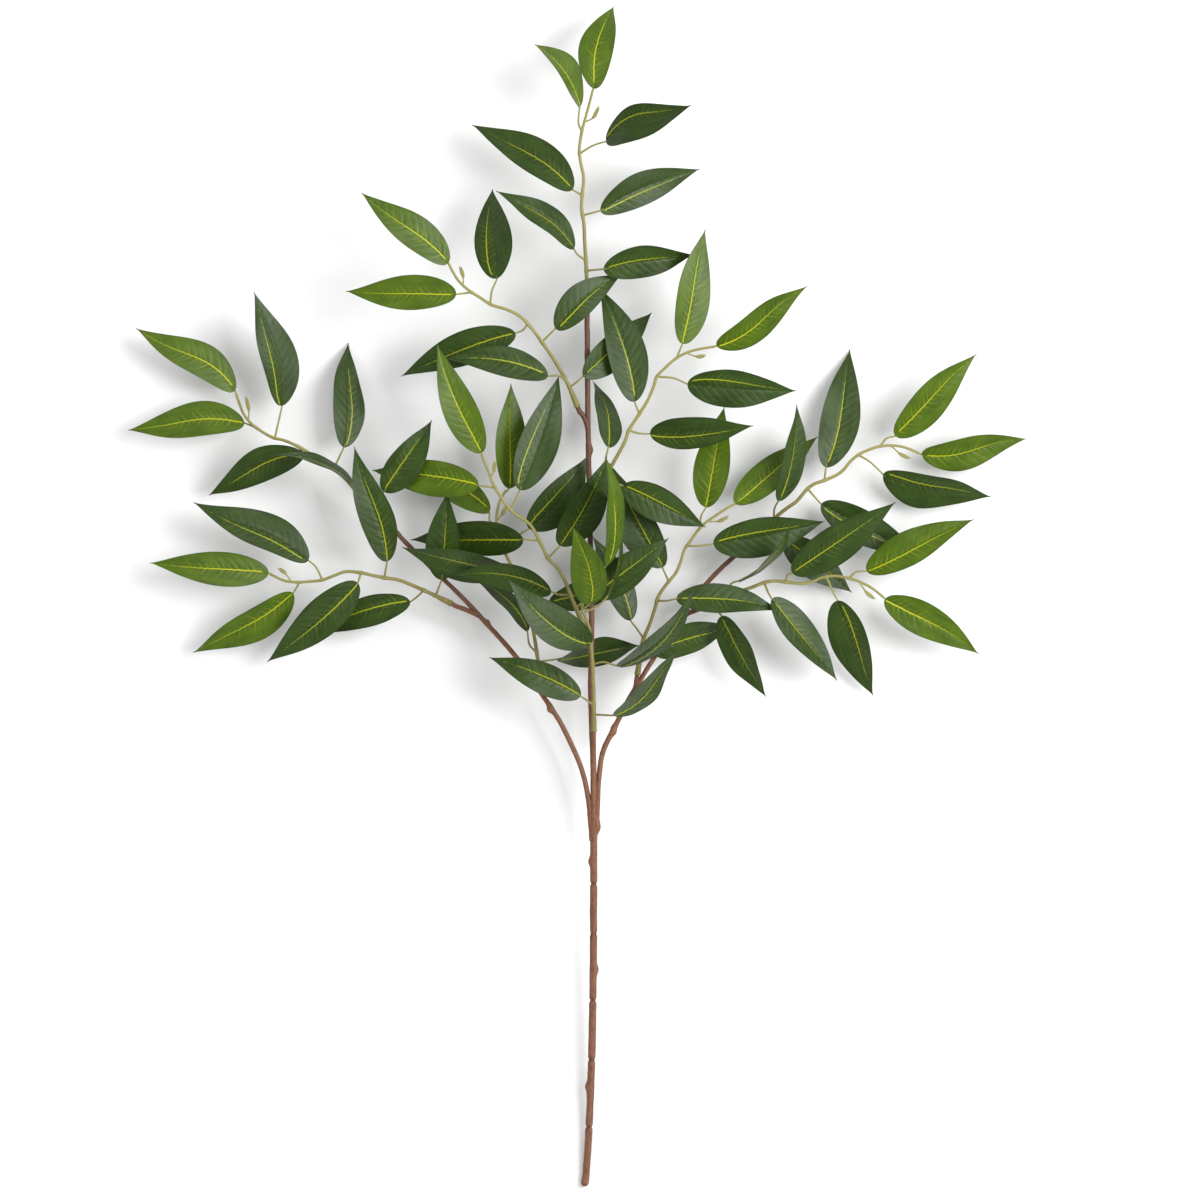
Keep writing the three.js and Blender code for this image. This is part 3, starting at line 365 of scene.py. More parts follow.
# Pegs and the bores round them
PEG_RADIUS = 1.1
PEG_LENGTH = 6.5
PEG_ROOT = 2.0
CLEARANCE = 0.36
BORE_RADIUS = PEG_RADIUS + CLEARANCE
BORE_DEPTH = PEG_LENGTH + CLEARANCE
PEG_PROFILE = (
    (-PEG_ROOT, PEG_RADIUS), (0, PEG_RADIUS), (PEG_LENGTH - 0.5, PEG_RADIUS),
    (PEG_LENGTH - 0.15, PEG_RADIUS * 0.85), (PEG_LENGTH, PEG_RADIUS * 0.5),
)

# Sleeves: rows of radius by distance from the mouth, by share of the length, and past the end
SLEEVE_RADIUS = 2.1
SLEEVE_MOUTH = (
    (BORE_DEPTH, 0.05), (BORE_DEPTH, BORE_RADIUS), (0.5, BORE_RADIUS), (0.12, BORE_RADIUS + 0.1),
    (0, BORE_RADIUS + 0.22), (0.03, 1.9), (0.2, SLEEVE_RADIUS), (1.1, SLEEVE_RADIUS),
    (1.5, SLEEVE_RADIUS * 0.92),
)
SLEEVE_BODY = ((0.45, SLEEVE_RADIUS * 0.86), (0.75, SLEEVE_RADIUS * 0.76), (0.9, TWIG_RADII[0] * 1.12))
SLEEVE_END = ((1, TWIG_RADII[0] * 0.96), (1.2, 0.1))

# Stem: joints, branch radii, the mesh's step, where a sleeve's line begins, and the bark layer's range
STEM_JOINTS = (-344, -300.3, -261.8, -218.3, -185.8)
PRONG_RADII = (1.2, 1.55)
RING_STEP = 0.7
BEFORE_MOUTH = 4
BARK_HEIGHTS = (-3, 1.5)

# Grooves: their reach and how steep their sides are
GROOVE_REACH = 0.8
GROOVE_STEEPNESS = 1.4

# Bark relief: each noise's scale round and along the stem, and its share. Then the scars' form
WRINKLES = (2.6, 0.07, 1.2)
LUMPS = (0.8, 0.22, 0.8)
SCAR_HEIGHT = 1.1
SCAR_REACH = 1.15
SCAR_SQUEEZE = 0.5

# Foot: its slight bulb, and rows of how far its end runs back and its radius, as shares of the radius
BULB_HEIGHT = 0.12
BULB_LENGTH = 5
FOOT_ROUNDING = ((0.3, 0.95), (0.6, 0.8), (0.8, 0.6), (0.92, 0.37), (0.96, 0.08))

# Points along a curve at which its length, and the place nearest to a node, are measured
LENGTH_STEPS = 400
PLACE_STEPS = 401

# The angle in degrees from which an edge is drawn sharp
SHARP_FROM = 55

# Sides of the round pieces
STEM_SIDES = 22
ARM_SIDES = 18
PRONG_SIDES = 16
PEG_SIDES = 14
SLEEVE_SIDES = 20
TWIG_SIDES = 16
STALK_SIDES = 12
SCALE_SIDES = 10

# Flecks of the twigs and the bark, the bark's pale flecks being partly painted highlights, the painted
# shade of the bark under the leaves, and where y turns to it
TWIG_PALE = (152, 148, 102)
TWIG_DARK = (88, 80, 38)
BARK_FLECK_AND_PAINTED_HIGHLIGHT = (160, 124, 98)
BARK_PITS = (46, 26, 15)
UNDER_LEAF_PAINTED_SHADE = (56, 32, 20)
DARKENS = (-60, 80)

# Noise of the surfaces, in cells to a metre, and the depth of their bumps in millimetres
TWIG_MOTTLE = 260
TWIG_BLOTCH = 45
BARK_MOTTLE = 1000
BARK_GRAIN = 2400
TWIG_BUMP = 0.12
BLADE_BUMP = 0.16
BARK_BUMP = 0.22

# Stage: the middle of the view, the camera's sensor, the table's height, and its reach in metres
VIEW_CENTRE = (14.6, -2)
SENSOR = 36
TABLE_HEIGHT = -0.3
TABLE_REACH = 8

# Light: the sky's strength, and each light's name, place, size, watts and whether it gives sheen
SKY_STRENGTH = 0.6
SOFT_LIGHTS = (
    ("key", (1.1, 0.3, 1.35), 1.0, 35, True),
    ("left", (-1.5, 0.2, 1.3), 1.4, 8, False),
    ("near", (0.1, -1.7, 1.3), 1.4, 11, False),
    ("far", (0.0, 1.6, 1.3), 1.4, 10, False),
)


def linear(red, green, blue):
    """A colour in the scene's linear values from the usual 0 to 255."""
    def one(value):
        value /= 255
        return value / 12.92 if value <= 0.04045 else ((value + 0.055) / 1.055) ** 2.4
    return (one(red), one(green), one(blue))


def colour_property(name, description, *rgb):
    return FloatVectorProperty(
        name=name, description=description, subtype="COLOR", size=3, min=0, max=1, default=linear(*rgb)
    )


def length_property(name, description, millimetres):
    return FloatProperty(
        name=name, description=description, unit="LENGTH", precision=5, min=0, default=millimetres * MM
    )


class RuscusBlades(bpy.types.PropertyGroup):
    thickness: length_property("Thickness", "Thickness of a blade's cloth", 0.36)
    pillow: length_property("Pillow", "How far the cloth swells between its pressed side veins", 0.16)
    crease: length_property("Crease", "Depth of the pressed crease along a blade's middle", 0.3)
    ripple: length_property("Ripple", "How far a blade's edges wave up and down", 0.5)
    back_rib: length_property("Back rib", "Radius of the moulded rib behind a blade, at its base", 0.55)
    mature: colour_property("Mature", "Upper side of a mature blade", 31, 50, 4)
    # Painted light: these pale colours also paint the light on a blade's folds in its pale streaks,
    # besides its real paler tone and veins
    mature_pale_and_painted_light: colour_property("Mature light", "Its paler streaks and veins", 46, 67, 15)
    young: colour_property("Young", "Upper side of a young blade", 52, 75, 0)
    young_pale_and_painted_light: colour_property("Young light", "Its paler streaks and veins", 76, 98, 5)
    # Painted shade: this colour paints the shade of a blade's folds in its darker streaks, and the
    # shade at its edges on the rims
    shade: colour_property("Shade", "Dark streaks and rims of a blade", 20, 34, 5)
    dry_tip: colour_property("Dry tip", "The very tip of a blade", 44, 42, 28)
    rib: colour_property("Rib", "Printed rib and side strokes", 165, 170, 20)
    back: colour_property("Back", "Under side of a blade", 68, 87, 51)
    back_vein: colour_property("Back vein", "Veins of the under side", 88, 105, 63)


class RuscusTwigs(bpy.types.PropertyGroup):
    swelling: FloatProperty(
        name="Swelling", description="How much a twig thickens where a leaf leaves it",
        subtype="FACTOR", min=0, max=1, default=0.22,
    )
    seam: length_property("Seam", "Height of the ridge that the mould leaves along both sides", 0.07)
    stalk: length_property("Stalk", "Radius of a leaf's stalk", 0.66)
    tip: colour_property("Tip", "Twigs and stalks towards the end of a spray", 132, 127, 72)
    foot: colour_property("Foot", "Sleeves and the twigs beside them", 108, 101, 54)


class RuscusBark(bpy.types.PropertyGroup):
    relief: length_property("Relief", "Height of the bark's lengthwise wrinkles", 0.16)
    groove: length_property("Groove", "Depth of the grooves between the moulded lengths", 0.9)
    light: colour_property("Light", "Raised bark", 116, 75, 50)
    # Painted shade: the colour of the bark's hollows and grooves, which is also the darker side of its
    # random mottle
    mottle_and_hollow_shade: colour_property("Dark", "Hollows of the bark", 84, 49, 31)


class RuscusStage(bpy.types.PropertyGroup):
    floor: colour_property("Floor", "The table that the stem lies on", 226, 226, 226)
    distance: FloatProperty(
        name="Distance", description="Height of the camera above the table", unit="LENGTH",
        min=1, default=6,
    )
    view: FloatProperty(
        name="View", description="Width of the table that the picture shows", unit="LENGTH",
        min=0.1, default=0.78,
    )


class RuscusSettings(bpy.types.PropertyGroup):
    blades: PointerProperty(name="Blades", type=RuscusBlades)
    twigs: PointerProperty(name="Twigs", type=RuscusTwigs)
    bark: PointerProperty(name="Bark", type=RuscusBark)
    stage: PointerProperty(name="Stage", type=RuscusStage)


def operation(name, swapped=False):
    """A method of Socket that does one operation of shader maths."""
    def method(self, *others):
        values = (*others, self) if swapped else (self, *others)
        return self.surface.node("ShaderNodeMath", {"operation": name}, dict(enumerate(values)))
    return method


class Socket:
    """An output of a node, with which shader maths is written as plain expressions."""

    def __init__(self, surface, output):
        self.surface = surface
        self.output = output

    __add__ = __radd__ = operation("ADD")
    __sub__ = operation("SUBTRACT")
    __rsub__ = operation("SUBTRACT", swapped=True)
    __mul__ = __rmul__ = operation("MULTIPLY")
    __truediv__ = operation("DIVIDE")
    __abs__ = operation("ABSOLUTE")
    fraction = operation("FRACT")
    whole = operation("FLOOR")
    over = operation("GREATER_THAN")

    def fade(self, low, high):
        """0 at low and 1 at high, smooth between them, whichever is greater."""
        settings = {"interpolation_type": "SMOOTHSTEP"}
        if isinstance(low, (int, float)) and isinstance(high, (int, float)) and low > high:
            return 1 - self.fade(high, low)
        sockets = {"Value": self, "From Min": low, "From Max": high}
        return self.surface.node("ShaderNodeMapRange", settings, sockets)


class Surface:
    """A material, and the methods that add its nodes."""

    def __init__(self, name, specular):
        self.material = bpy.data.materials.new(name)
        self.material.use_nodes = True
        self.tree = self.material.node_tree
        self.shader = self.tree.nodes["Principled BSDF"]
        self.set("Specular IOR Level", specular)

    def node(self, kind, settings, sockets, output=0):
        """A new node with its settings, then its sockets' values or links. Returns one output."""
        made = self.tree.nodes.new(kind)
        for name, value in settings.items():
            setattr(made, name, value)
        for name, value in sockets.items():
            self.feed(made.inputs[name], value)
        return Socket(self, made.outputs[output])

    def set(self, name, value):
        """Gives one of the shader's inputs a value or a link."""
        self.feed(self.shader.inputs[name], value)

    def feed(self, socket, value):
        if isinstance(value, Socket):
            self.tree.links.new(value.output, socket)
        elif socket.type == "RGBA":
            socket.default_value = (*value, 1)
        else:
            socket.default_value = value

    def layer(self, name):
        """A value or vector that the mesh holds at each of its points, as three sockets."""
        return self.split(self.node("ShaderNodeAttribute", {"attribute_name": name}, {}, "Vector"))

    def split(self, vector):
        return [self.node("ShaderNodeSeparateXYZ", {}, {0: vector}, axis) for axis in "XYZ"]

    def place(self):
        return self.node("ShaderNodeTexCoord", {}, {}, "Object")

    def joined(self, x, y, z):
        return self.node("ShaderNodeCombineXYZ", {}, {0: x, 1: y, 2: z})

    def cloud(self, vector, scale, detail=3.0):
        """Soft noise from 0 to 1."""
        sockets = {"Vector": vector, "Scale": scale, "Detail": detail, "Roughness": 0.5}
        return self.node("ShaderNodeTexNoise", {"noise_dimensions": "3D"}, sockets)

    def drift(self, x, y, z, detail):
        """Soft noise from 0 to 1, read at three values."""
        return self.cloud(self.joined(x, y, z), 1, detail)

    def chance(self, value):
        """A random number from 0 to 1 for each whole value."""
        return self.node("ShaderNodeTexWhiteNoise", {"noise_dimensions": "1D"}, {"W": value})

    def blended(self, factor, first, second):
        """A colour that is first at 0 and second at 1."""
        return self.node("ShaderNodeMix", {"data_type": "RGBA"}, {0: factor, 6: first, 7: second}, 2)

    def coated(self, colour, *coats):
        """A colour under coats, each with its share and its colour."""
        for share, coat in coats:
            colour = self.blended(share, colour, coat)
        return colour

    def finish(self, colour, roughness, height, bump_distance, bump_strength=1.0):
        """Feeds what varies over the surface to the shader."""
        bump = {"Height": height, "Distance": bump_distance, "Strength": bump_strength}
        self.set("Base Color", colour)
        self.set("Roughness", roughness)
        self.set("Normal", self.node("ShaderNodeBump", {}, bump))
        return self.material


class Line:
    """The smooth curve through a row of points, read at the share of its stretches passed."""

    def __init__(self, points):
        points = np.array(points, float)
        first = 2 * points[0] - points[1]
        last = 2 * points[-1] - points[-2]
        self.points = np.vstack([first, points, last])
        self.stretches = len(points) - 1

    def at(self, share):
        place = np.clip(np.asarray(share, float), 0, 1) * self.stretches
        index = np.minimum(place.astype(int), self.stretches - 1)
        before, start, end, after = (self.points[index + k] for k in range(4))
        leaving = (end - before) / 2
        arriving = (after - start) / 2
        square = 3 * (end - start) - 2 * leaving - arriving
        cube = 2 * (start - end) + leaving + arriving
        t = np.expand_dims(place - index, -1)
        return start + t * (leaving + t * (square + t * cube))

    def length(self):
        steps = np.diff(self.at(np.linspace(0, 1, LENGTH_STEPS)), axis=0)
        return np.linalg.norm(steps, axis=1).sum()

    def nearest_share(self, place):
        """The share of the point that is nearest to a place on the table."""
        shares = np.linspace(0, 1, PLACE_STEPS)
        plan = self.at(shares)[:, :2] - np.array(place, float)
        return shares[np.linalg.norm(plan, axis=1).argmin()]


def unit(vectors):
    vectors = np.asarray(vectors, float)
    return vectors / np.linalg.norm(vectors, axis=-1, keepdims=True)


def eased(low, high, values):
    """0 at low and 1 at high, smooth between them."""
    t = np.clip((np.asarray(values, float) - low) / (high - low), 0, 1)
    return t * t * (3 - 2 * t)


def placed(name, data):
    """A new object of the scene that shows some data."""
    made = bpy.data.objects.new(name, data)
    bpy.context.scene.collection.objects.link(made)
    return made


class Skin:
    """The points, faces and layers of one piece, gathered part by part in millimetres."""

    def __init__(self, *layers):
        self.points = []
        self.faces = []
        self.layers = {name: [] for name in layers}
        self.count = 0

    def add(self, points, faces, **layers):
        points = np.asarray(points, float).reshape(-1, 3)
        self.points.append(points)
        self.faces.extend(tuple(int(i) + self.count for i in face) for face in faces)
        for name, values in layers.items():
            self.layers[name].append(np.broadcast_to(values, (len(points), 3)))
        self.count += len(points)

    def build(self, name, material, node):
        """Makes the piece as an object that stands for a node of the frame."""
        mesh = bpy.data.meshes.new(name)
        mesh.from_pydata(np.vstack(self.points) * MM, [], self.faces)
        for layer, values in self.layers.items():
            made = mesh.attributes.new(layer, "FLOAT_VECTOR", "POINT")
            made.data.foreach_set("vector", np.vstack(values).astype(np.float32).ravel())
        mesh.materials.append(material)
        mesh.shade_smooth()
        mesh.set_sharp_from_angle(angle=math.radians(SHARP_FROM))
        piece = placed(name, mesh)
        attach(piece, "root")
        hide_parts(node)


def ring_faces(rings, sides):
    """The faces of a closed tube whose points go ring by ring, clockwise when seen along it."""
    index = np.arange(rings * sides).reshape(rings, sides)
    after = np.roll(index, -1, axis=1)
    quads = np.stack([index[:-1], after[:-1], after[1:], index[1:]], -1).reshape(-1, 4)
    return [*quads, index[0, ::-1], index[-1]]


def turned_frames(middles):
    """The directions across and over a row of points, without twist."""
    ahead = unit(np.gradient(middles, axis=0))
    across = np.zeros_like(ahead)
    side = unit(np.cross(ahead[0], (0, 0, 1)))
    for i, way in enumerate(ahead):
        side = unit(side - way * side.dot(way))
        across[i] = side
    return across, np.cross(across, ahead)


def side_angles(sides):
    """The angles of a ring's points, from the direction over it."""
    return (np.arange(sides) + 0.5) / sides * 2 * math.pi


def outward(middles, sides):
    """The directions from each of a row of points to the points of its ring."""
    across, over = turned_frames(middles)
    angles = side_angles(sides)[:, None]
    return across[:, None] * np.sin(angles) + over[:, None] * np.cos(angles)


def ring_points(middles, radii, sides, shape=1.0):
    """Rings round a row of points. shape scales each point's radius, by ring and by side."""
    reach = np.asarray(radii, float)[:, None] * np.ones(sides) * shape
    return middles[:, None] + outward(middles, sides) * reach[..., None]


def blade_outline(t):
    """The share of a blade's greatest width at a share of its length."""
    turn = BASE_BLUNTNESS / (BASE_BLUNTNESS + SHOULDER * TIP_SHARPNESS)
    greatest = turn ** (BASE_BLUNTNESS / SHOULDER) * (1 - turn) ** TIP_SHARPNESS
    return t ** BASE_BLUNTNESS * (1 - t ** SHOULDER) ** TIP_SHARPNESS / greatest


def blade_frame(leaf, t):
    """A blade's middle, its upward direction and its right-hand direction at shares of its length."""
    t = np.asarray(t, float)[:, None]
    base = np.array(leaf.base, float)
    lengthwise = np.array(leaf.tip, float) - base
    ahead = unit(lengthwise)
    face = unit(np.array((0, 0, 1)) - ahead * ahead[2])
    roll = np.radians(leaf.roll + (t - 0.5) * leaf.twist)
    turned = face * np.cos(roll) + np.cross(ahead, face) * np.sin(roll)
    side = np.cross(ahead, turned)
    arch = 4 * t * (1 - t)
    middle = base + lengthwise * t
    middle = middle + arch * (turned * leaf.bow + side * leaf.sway)
    middle = middle + np.sin(2 * math.pi * t) * side * leaf.curl
    return middle, turned, side


def vein_phase(x, y, shift):
    """How many side veins lie between a blade's base and a place beside its middle."""
    reach = np.abs(x)
    steps = (y - VEIN_SLOPE * reach - VEIN_CURVE * reach ** 2) / VEIN_SPACING
    return steps + np.where(x > 0, 0.5, 0) + shift


def sheet_faces(rows, columns):
    """The faces of a closed sheet: its grid of points, then the same grid again under it."""
    under = rows * columns
    index = np.arange(under).reshape(rows, columns)
    top = np.stack([index[:-1, :-1], index[:-1, 1:], index[1:, 1:], index[1:, :-1]], -1).reshape(-1, 4)
    bottom = top[:, ::-1] + under
    rim = [*index[0, :-1], *index[:-1, -1], *index[-1, :0:-1], *index[:0:-1, 0]]
    edge = [(b, a, under + a, under + b) for a, b in zip(rim, rim[1:] + rim[:1])]
    return [*top, *bottom, *edge]


def add_blade(skin, leaf, width, rib, youth, seed, settings):
    """One printed cloth blade: folded, arched, pressed with veins, and waved at its edges."""
    draw = random.Random(seed)
    t = np.linspace(0, 1, ROWS + 1) ** BASE_CROWDING
    v = np.linspace(-1, 1, COLUMNS + 1)
    s = np.sign(v) * np.abs(v) ** MIDDLE_CROWDING
    middle, face, side = blade_frame(leaf, t)
    length = np.linalg.norm(np.subtract(leaf.tip, leaf.base))
    half = np.maximum(blade_outline(t) * width, TIP_WIDTH) / 2
    x = s * half[:, None]
    y = (t * length)[:, None] + 0 * x

    shift = draw.random()
    section = np.sqrt(s ** 2 + FOLD_ROUNDING) - FOLD_DROP - EDGE_FLATTENING * s ** 2
    rise = leaf.fold * half[:, None] * section
    waves = FEWEST_WAVES + draw.random()
    beat = draw.random() * 2 * math.pi
    lag = 1 + draw.random() * 2
    away = np.sin(2 * math.pi * waves * t[:, None] + beat + np.where(s > 0, lag, 0))
    window = (eased(*RELIEF_IN, t) * eased(*RELIEF_OUT, t))[:, None]
    rise += settings.ripple / MM * away * window * s ** 2
    swell = 0.5 + 0.5 * np.cos(2 * math.pi * vein_phase(x, y, shift))
    rise -= settings.pillow / MM * swell * window * (1 - s ** 4)
    rise -= settings.crease / MM * np.exp(-((x / CREASE_HALF) ** 2)) * eased(*CREASE_OUT, t)[:, None]
    cloth = middle[:, None] + side[:, None] * x[..., None] + face[:, None] * rise[..., None]
    skin_half = face[:, None] * settings.thickness / MM / 2
    points = np.vstack([(cloth + skin_half).reshape(-1, 3), (cloth - skin_half).reshape(-1, 3)])

    blade = np.stack([x, y, 0 * x + half[:, None]], -1).reshape(-1, 3)
    rib_place = ((rib[0] + (rib[1] - rib[0]) * t) * half)[:, None] + 0 * x
    upper = np.repeat([1.0, 0.0], x.size)
    printed = np.stack([np.tile(rib_place.ravel(), 2), upper, 0 * upper + shift], -1)
    skin.add(
        points, sheet_faces(*x.shape),
        blade=np.vstack([blade, blade]), leaf=(youth, draw.random(), length), printed=printed,
    )


def twig_line(spray):
    """The middle line of a spray's sleeve and twig."""
    start, middle, end = spray.heights
    bend = 2 * (start + end) - 4 * middle
    rest = []
    for i, (x, y) in enumerate(spray.twig):
        t = (i + 1) / len(spray.twig)
        rest.append((x, y, start + (end - start - bend) * t + bend * t * t))
    return Line([*spray.sleeve, *rest])


def on_sleeve_axis(spray, distance):
    """A point so far past the sleeve's mouth, on the line that sleeve and peg share."""
    mouth, end = (np.array(point, float) for point in spray.sleeve)
    return mouth + unit(end - mouth) * distance


def add_tube(skin, middles, radii, sides, shape=1.0, **layers):
    """A closed tube round a row of points, with a layer's value for each of them."""
    points = ring_points(np.asarray(middles, float), radii, sides, shape)
    repeated = {name: np.repeat(values, sides, axis=0) for name, values in layers.items()}
    skin.add(points, ring_faces(len(points), sides), **repeated)


def ages(start, end, count):
    """Rows for the twig layer, whose one value is 0 at the sleeve and 1 at the spray's tip."""
    t = np.linspace(0, 1, count)
    return np.outer(start + (end - start) * t, (1, 0, 0))


def add_sleeve(skin, spray):
    """A collar with a lip at its mouth and the peg's bore inside."""
    length = np.linalg.norm(np.subtract(*spray.sleeve))
    body = [(length * share, radius) for share, radius in SLEEVE_BODY]
    end = [(length + past, radius) for past, radius in SLEEVE_END]
    distances, radii = np.transpose([*SLEEVE_MOUTH, *body, *end])
    middles = np.array([on_sleeve_axis(spray, distance) for distance in distances])
    axis = np.array([on_sleeve_axis(spray, step) for step in range(len(radii))])
    points = middles[:, None] + outward(axis, SLEEVE_SIDES) * radii[:, None, None]
    twig = np.repeat(ages(0, 0.1, len(radii)), SLEEVE_SIDES, axis=0)
    skin.add(points, ring_faces(len(radii), SLEEVE_SIDES), twig=twig)


def add_twig(skin, spray, line, settings):
    """The zigzag twig, thicker where a leaf leaves it, with the mould's seam down its sides."""
    start = TWIG_START / (len(spray.twig) + 1)
    rings = int(line.length())
    shares = np.linspace(start, 1, rings)
    radii = TWIG_RADII[0] + (TWIG_RADII[1] - TWIG_RADII[0]) * np.linspace(0, 1, rings)
    for leaf in spray.leaves[:-1]:
        gap = (shares - line.nearest_share(leaf.node)) * line.length()
        radii = radii * (1 + settings.swelling * np.exp(-((gap / SWELLING_REACH) ** 2)))
    radii[-1] *= TWIG_TAPER
    shape = np.ones((rings, TWIG_SIDES))
    for side in (TWIG_SIDES // 4, TWIG_SIDES // 4 * 3):
        shape[:, side] += settings.seam / MM / radii
    add_tube(skin, line.at(shares), radii, TWIG_SIDES, shape, twig=ages(0.08, 1, rings))


def add_stalk(skin, leaf, line, twigs, blades):
    """A leaf's stalk from inside the twig to the blade, and on as the rib behind it."""
    share = line.nearest_share(leaf.node) if leaf.node else END_STALK_PLACE
    root = line.at(share)
    places, rib = np.transpose(BACK_RIB)
    middle, face, _ = blade_frame(leaf, places)
    rib_radii = rib * blades.back_rib / MM
    drop = blades.thickness / MM / 2 + rib_radii * RIB_SINK + RIB_UNDER_CREASE * blades.crease / MM
    behind = middle - face * drop[:, None]
    points = [root]
    radii = [twigs.stalk / MM * STALK_ROOT]
    if leaf.via:
        points.append((*leaf.via, root[2] + (middle[0][2] - root[2]) * STALK_RISE))
        radii.append(twigs.stalk / MM)
    points.extend(behind)
    radii.extend(rib_radii)
    rings = (len(points) - 1) * STALK_STEPS
    shares = np.linspace(0, 1, rings)
    thickness = np.interp(shares, np.linspace(0, 1, len(radii)), radii)
    thickness[0] *= STALK_TAPERS[0]
    thickness[-1] *= STALK_TAPERS[1]
    twig = ages(max(share, 0.15), 1, rings)
    add_tube(skin, Line(points).at(shares), thickness, STALK_SIDES, twig=twig)


def add_bud(skin, spray, line):
    """A bud on its short stalk: a long scale, and a short one against its side."""
    node, via, tip = spray.bud
    share = line.nearest_share(node)
    root = line.at(share)
    places, radii = np.transpose(LONG_SCALE)
    middles = Line([root, (*via, root[2] + 1), (*tip, root[2] + 2)]).at(places)
    add_tube(skin, middles, radii, STALK_SIDES, twig=ages(share, 1.1, len(radii)))
    across, over = (directions[SHORT_SCALE_STEPS] for directions in turned_frames(middles))
    aside, radii = np.transpose(SHORT_SCALE)
    way = across * SHORT_SCALE_SIDE[0] + over * SHORT_SCALE_SIDE[1]
    middles = middles[SHORT_SCALE_STEPS] + aside[:, None] * way
    add_tube(skin, middles, radii, SCALE_SIDES, twig=ages(share, 1.1, len(radii)))


def twig_surface(settings):
    """Moulded olive plastic, browner at the sleeves, with a faint mottle."""
    surface = Surface("moulded_twig", specular=0.35)
    age = surface.layer("twig")[0]
    place = surface.place()
    mottle = surface.cloud(place, TWIG_MOTTLE)
    blotch = surface.cloud(place, TWIG_BLOTCH, 2)
    depth = (age + blotch * 0.9 - 0.45).fade(0.0, 0.55)
    colour = surface.coated(
        surface.blended(depth, settings.foot, settings.tip),
        (mottle.fade(0.5, 0.75) * 0.35, linear(*TWIG_PALE)),
        (mottle.fade(0.45, 0.25) * 0.35, linear(*TWIG_DARK)),
    )
    return surface.finish(colour, 0.42 + mottle * 0.2, mottle, TWIG_BUMP * MM)


def blade_surface(settings):
    """Printed cloth: a broken yellow-green rib with short side strokes, and a paler back, with painted
    light and shade in the pale and darker streaks along its folds, and painted shade at its rims.
    """
    surface = Surface("printed_blade", specular=0.28)
    x, y, half = surface.layer("blade")
    youth, seed, length = surface.layer("leaf")
    rib, upper, shift = surface.layer("printed")
    t = y / length
    across = abs(x / half)
    grain = surface.drift(x * 2.2, y * 2.2, seed * 90, 2)
    streaks = surface.drift(x * 0.45, y * 0.04, seed * 60, 3)
    clouds = surface.drift(x * 0.1, y * 0.06, seed * 40, 2)

    wander = surface.drift(seed * 77, y * 0.3, 0, 2) - 0.5
    beside = x - rib - wander * 0.7
    line_half = 0.4 - t * 0.24 + (grain - 0.5) * 0.3
    line = abs(beside).fade(line_half + 0.18, line_half - 0.12)
    worn = surface.drift(seed * 31, y * 0.5, x * 0.8, 3)
    kept = (worn + 0.66 + youth * 0.08 - t).fade(0.28, 0.5)
    begun = (t - surface.chance(seed * 700) * 0.05).fade(0.0, 0.02)
    printed_line = line * begun * kept * (1 - t.fade(0.3, 0.95) * 0.6) * (0.72 + youth * 0.28)

    from_rib = abs(beside)
    bend = surface.drift(x * 0.2, y * 0.2, seed * 50, 1) - 0.5
    row = (y - from_rib * VEIN_SLOPE) / STROKE_SPACING + beside.over(0) * 0.43 + shift * 5 + bend * 0.5
    chance = surface.chance(row.whole() + beside.over(0) * 40 + seed * 300)
    stroke_gap = abs(row.fraction() - 0.5) * STROKE_SPACING
    reach = SHORTEST_STROKE + chance * STROKE_SPREAD
    stroke = stroke_gap.fade(0.28, 0.05) * (from_rib / reach).fade(1.0, 0.1)
    weight = 0.08 + surface.chance(chance * 900) * 0.32 + youth * 0.25
    strokes = stroke * t.fade(0.02, 0.08) * t.fade(0.85, 0.4) * weight

    aside = abs(x)
    steps = (y - aside * VEIN_SLOPE - aside * aside * VEIN_CURVE) / VEIN_SPACING
    phase = steps + x.over(0) * 0.5 + shift + bend * 0.2
    pressed = (abs((phase + 0.5).fraction() - 0.5) * VEIN_SPACING).fade(0.6, 0.1)
    pressed = pressed * across.fade(1.0, 0.7) * t.fade(1.0, 0.85)
    threads = abs((phase * (VEIN_SPACING / FINE_SPACING) + bend * 2).fraction() - 0.5).fade(0.3, 0.05)

    # Painted light and real colour: pale streaks paint light on the folds, clouds vary the tone at
    # random, and pressed veins are paler
    pale_and_painted_light = surface.blended(youth, settings.mature_pale_and_painted_light, settings.young_pale_and_painted_light)
    # The upper side's colour: print and random tone, with painted light and shade along the folds and
    # at the rims
    printed = surface.coated(
        surface.blended(youth, settings.mature, settings.young),
        # Pale streaks: painted light on the folds, with random clouds of tone
        ((streaks * 0.5 + clouds - 0.3).fade(0.1, 0.75) * 0.8, pale_and_painted_light),
        # Darker streaks: painted shade of the folds
        (streaks.fade(0.48, 0.25) * (0.4 - youth * 0.25), settings.shade),
        (pressed * 0.16 + threads * 0.07, pale_and_painted_light),
        # Rims: painted shade, darker towards the blade's edges
        (across.fade(0.8, 1.0) * (0.3 - youth * 0.15), settings.shade),
        (t.fade(0.9, 1.0) * 0.75 * (1 - youth * 0.7), settings.dry_tip),
        (strokes * upper, settings.rib),
        (printed_line * 0.95, settings.rib),
    )
    under = surface.blended(pressed * 0.25, settings.back, settings.back_vein)
    colour = surface.blended(upper, under, printed)
    height = grain * 0.3 - pressed * 0.5 - threads * 0.25 + printed_line * 0.2
    roughness = 0.33 + grain * 0.14 + (1 - upper) * 0.2
    return surface.finish(colour, roughness, height, BLADE_BUMP * MM, bump_strength=0.8)


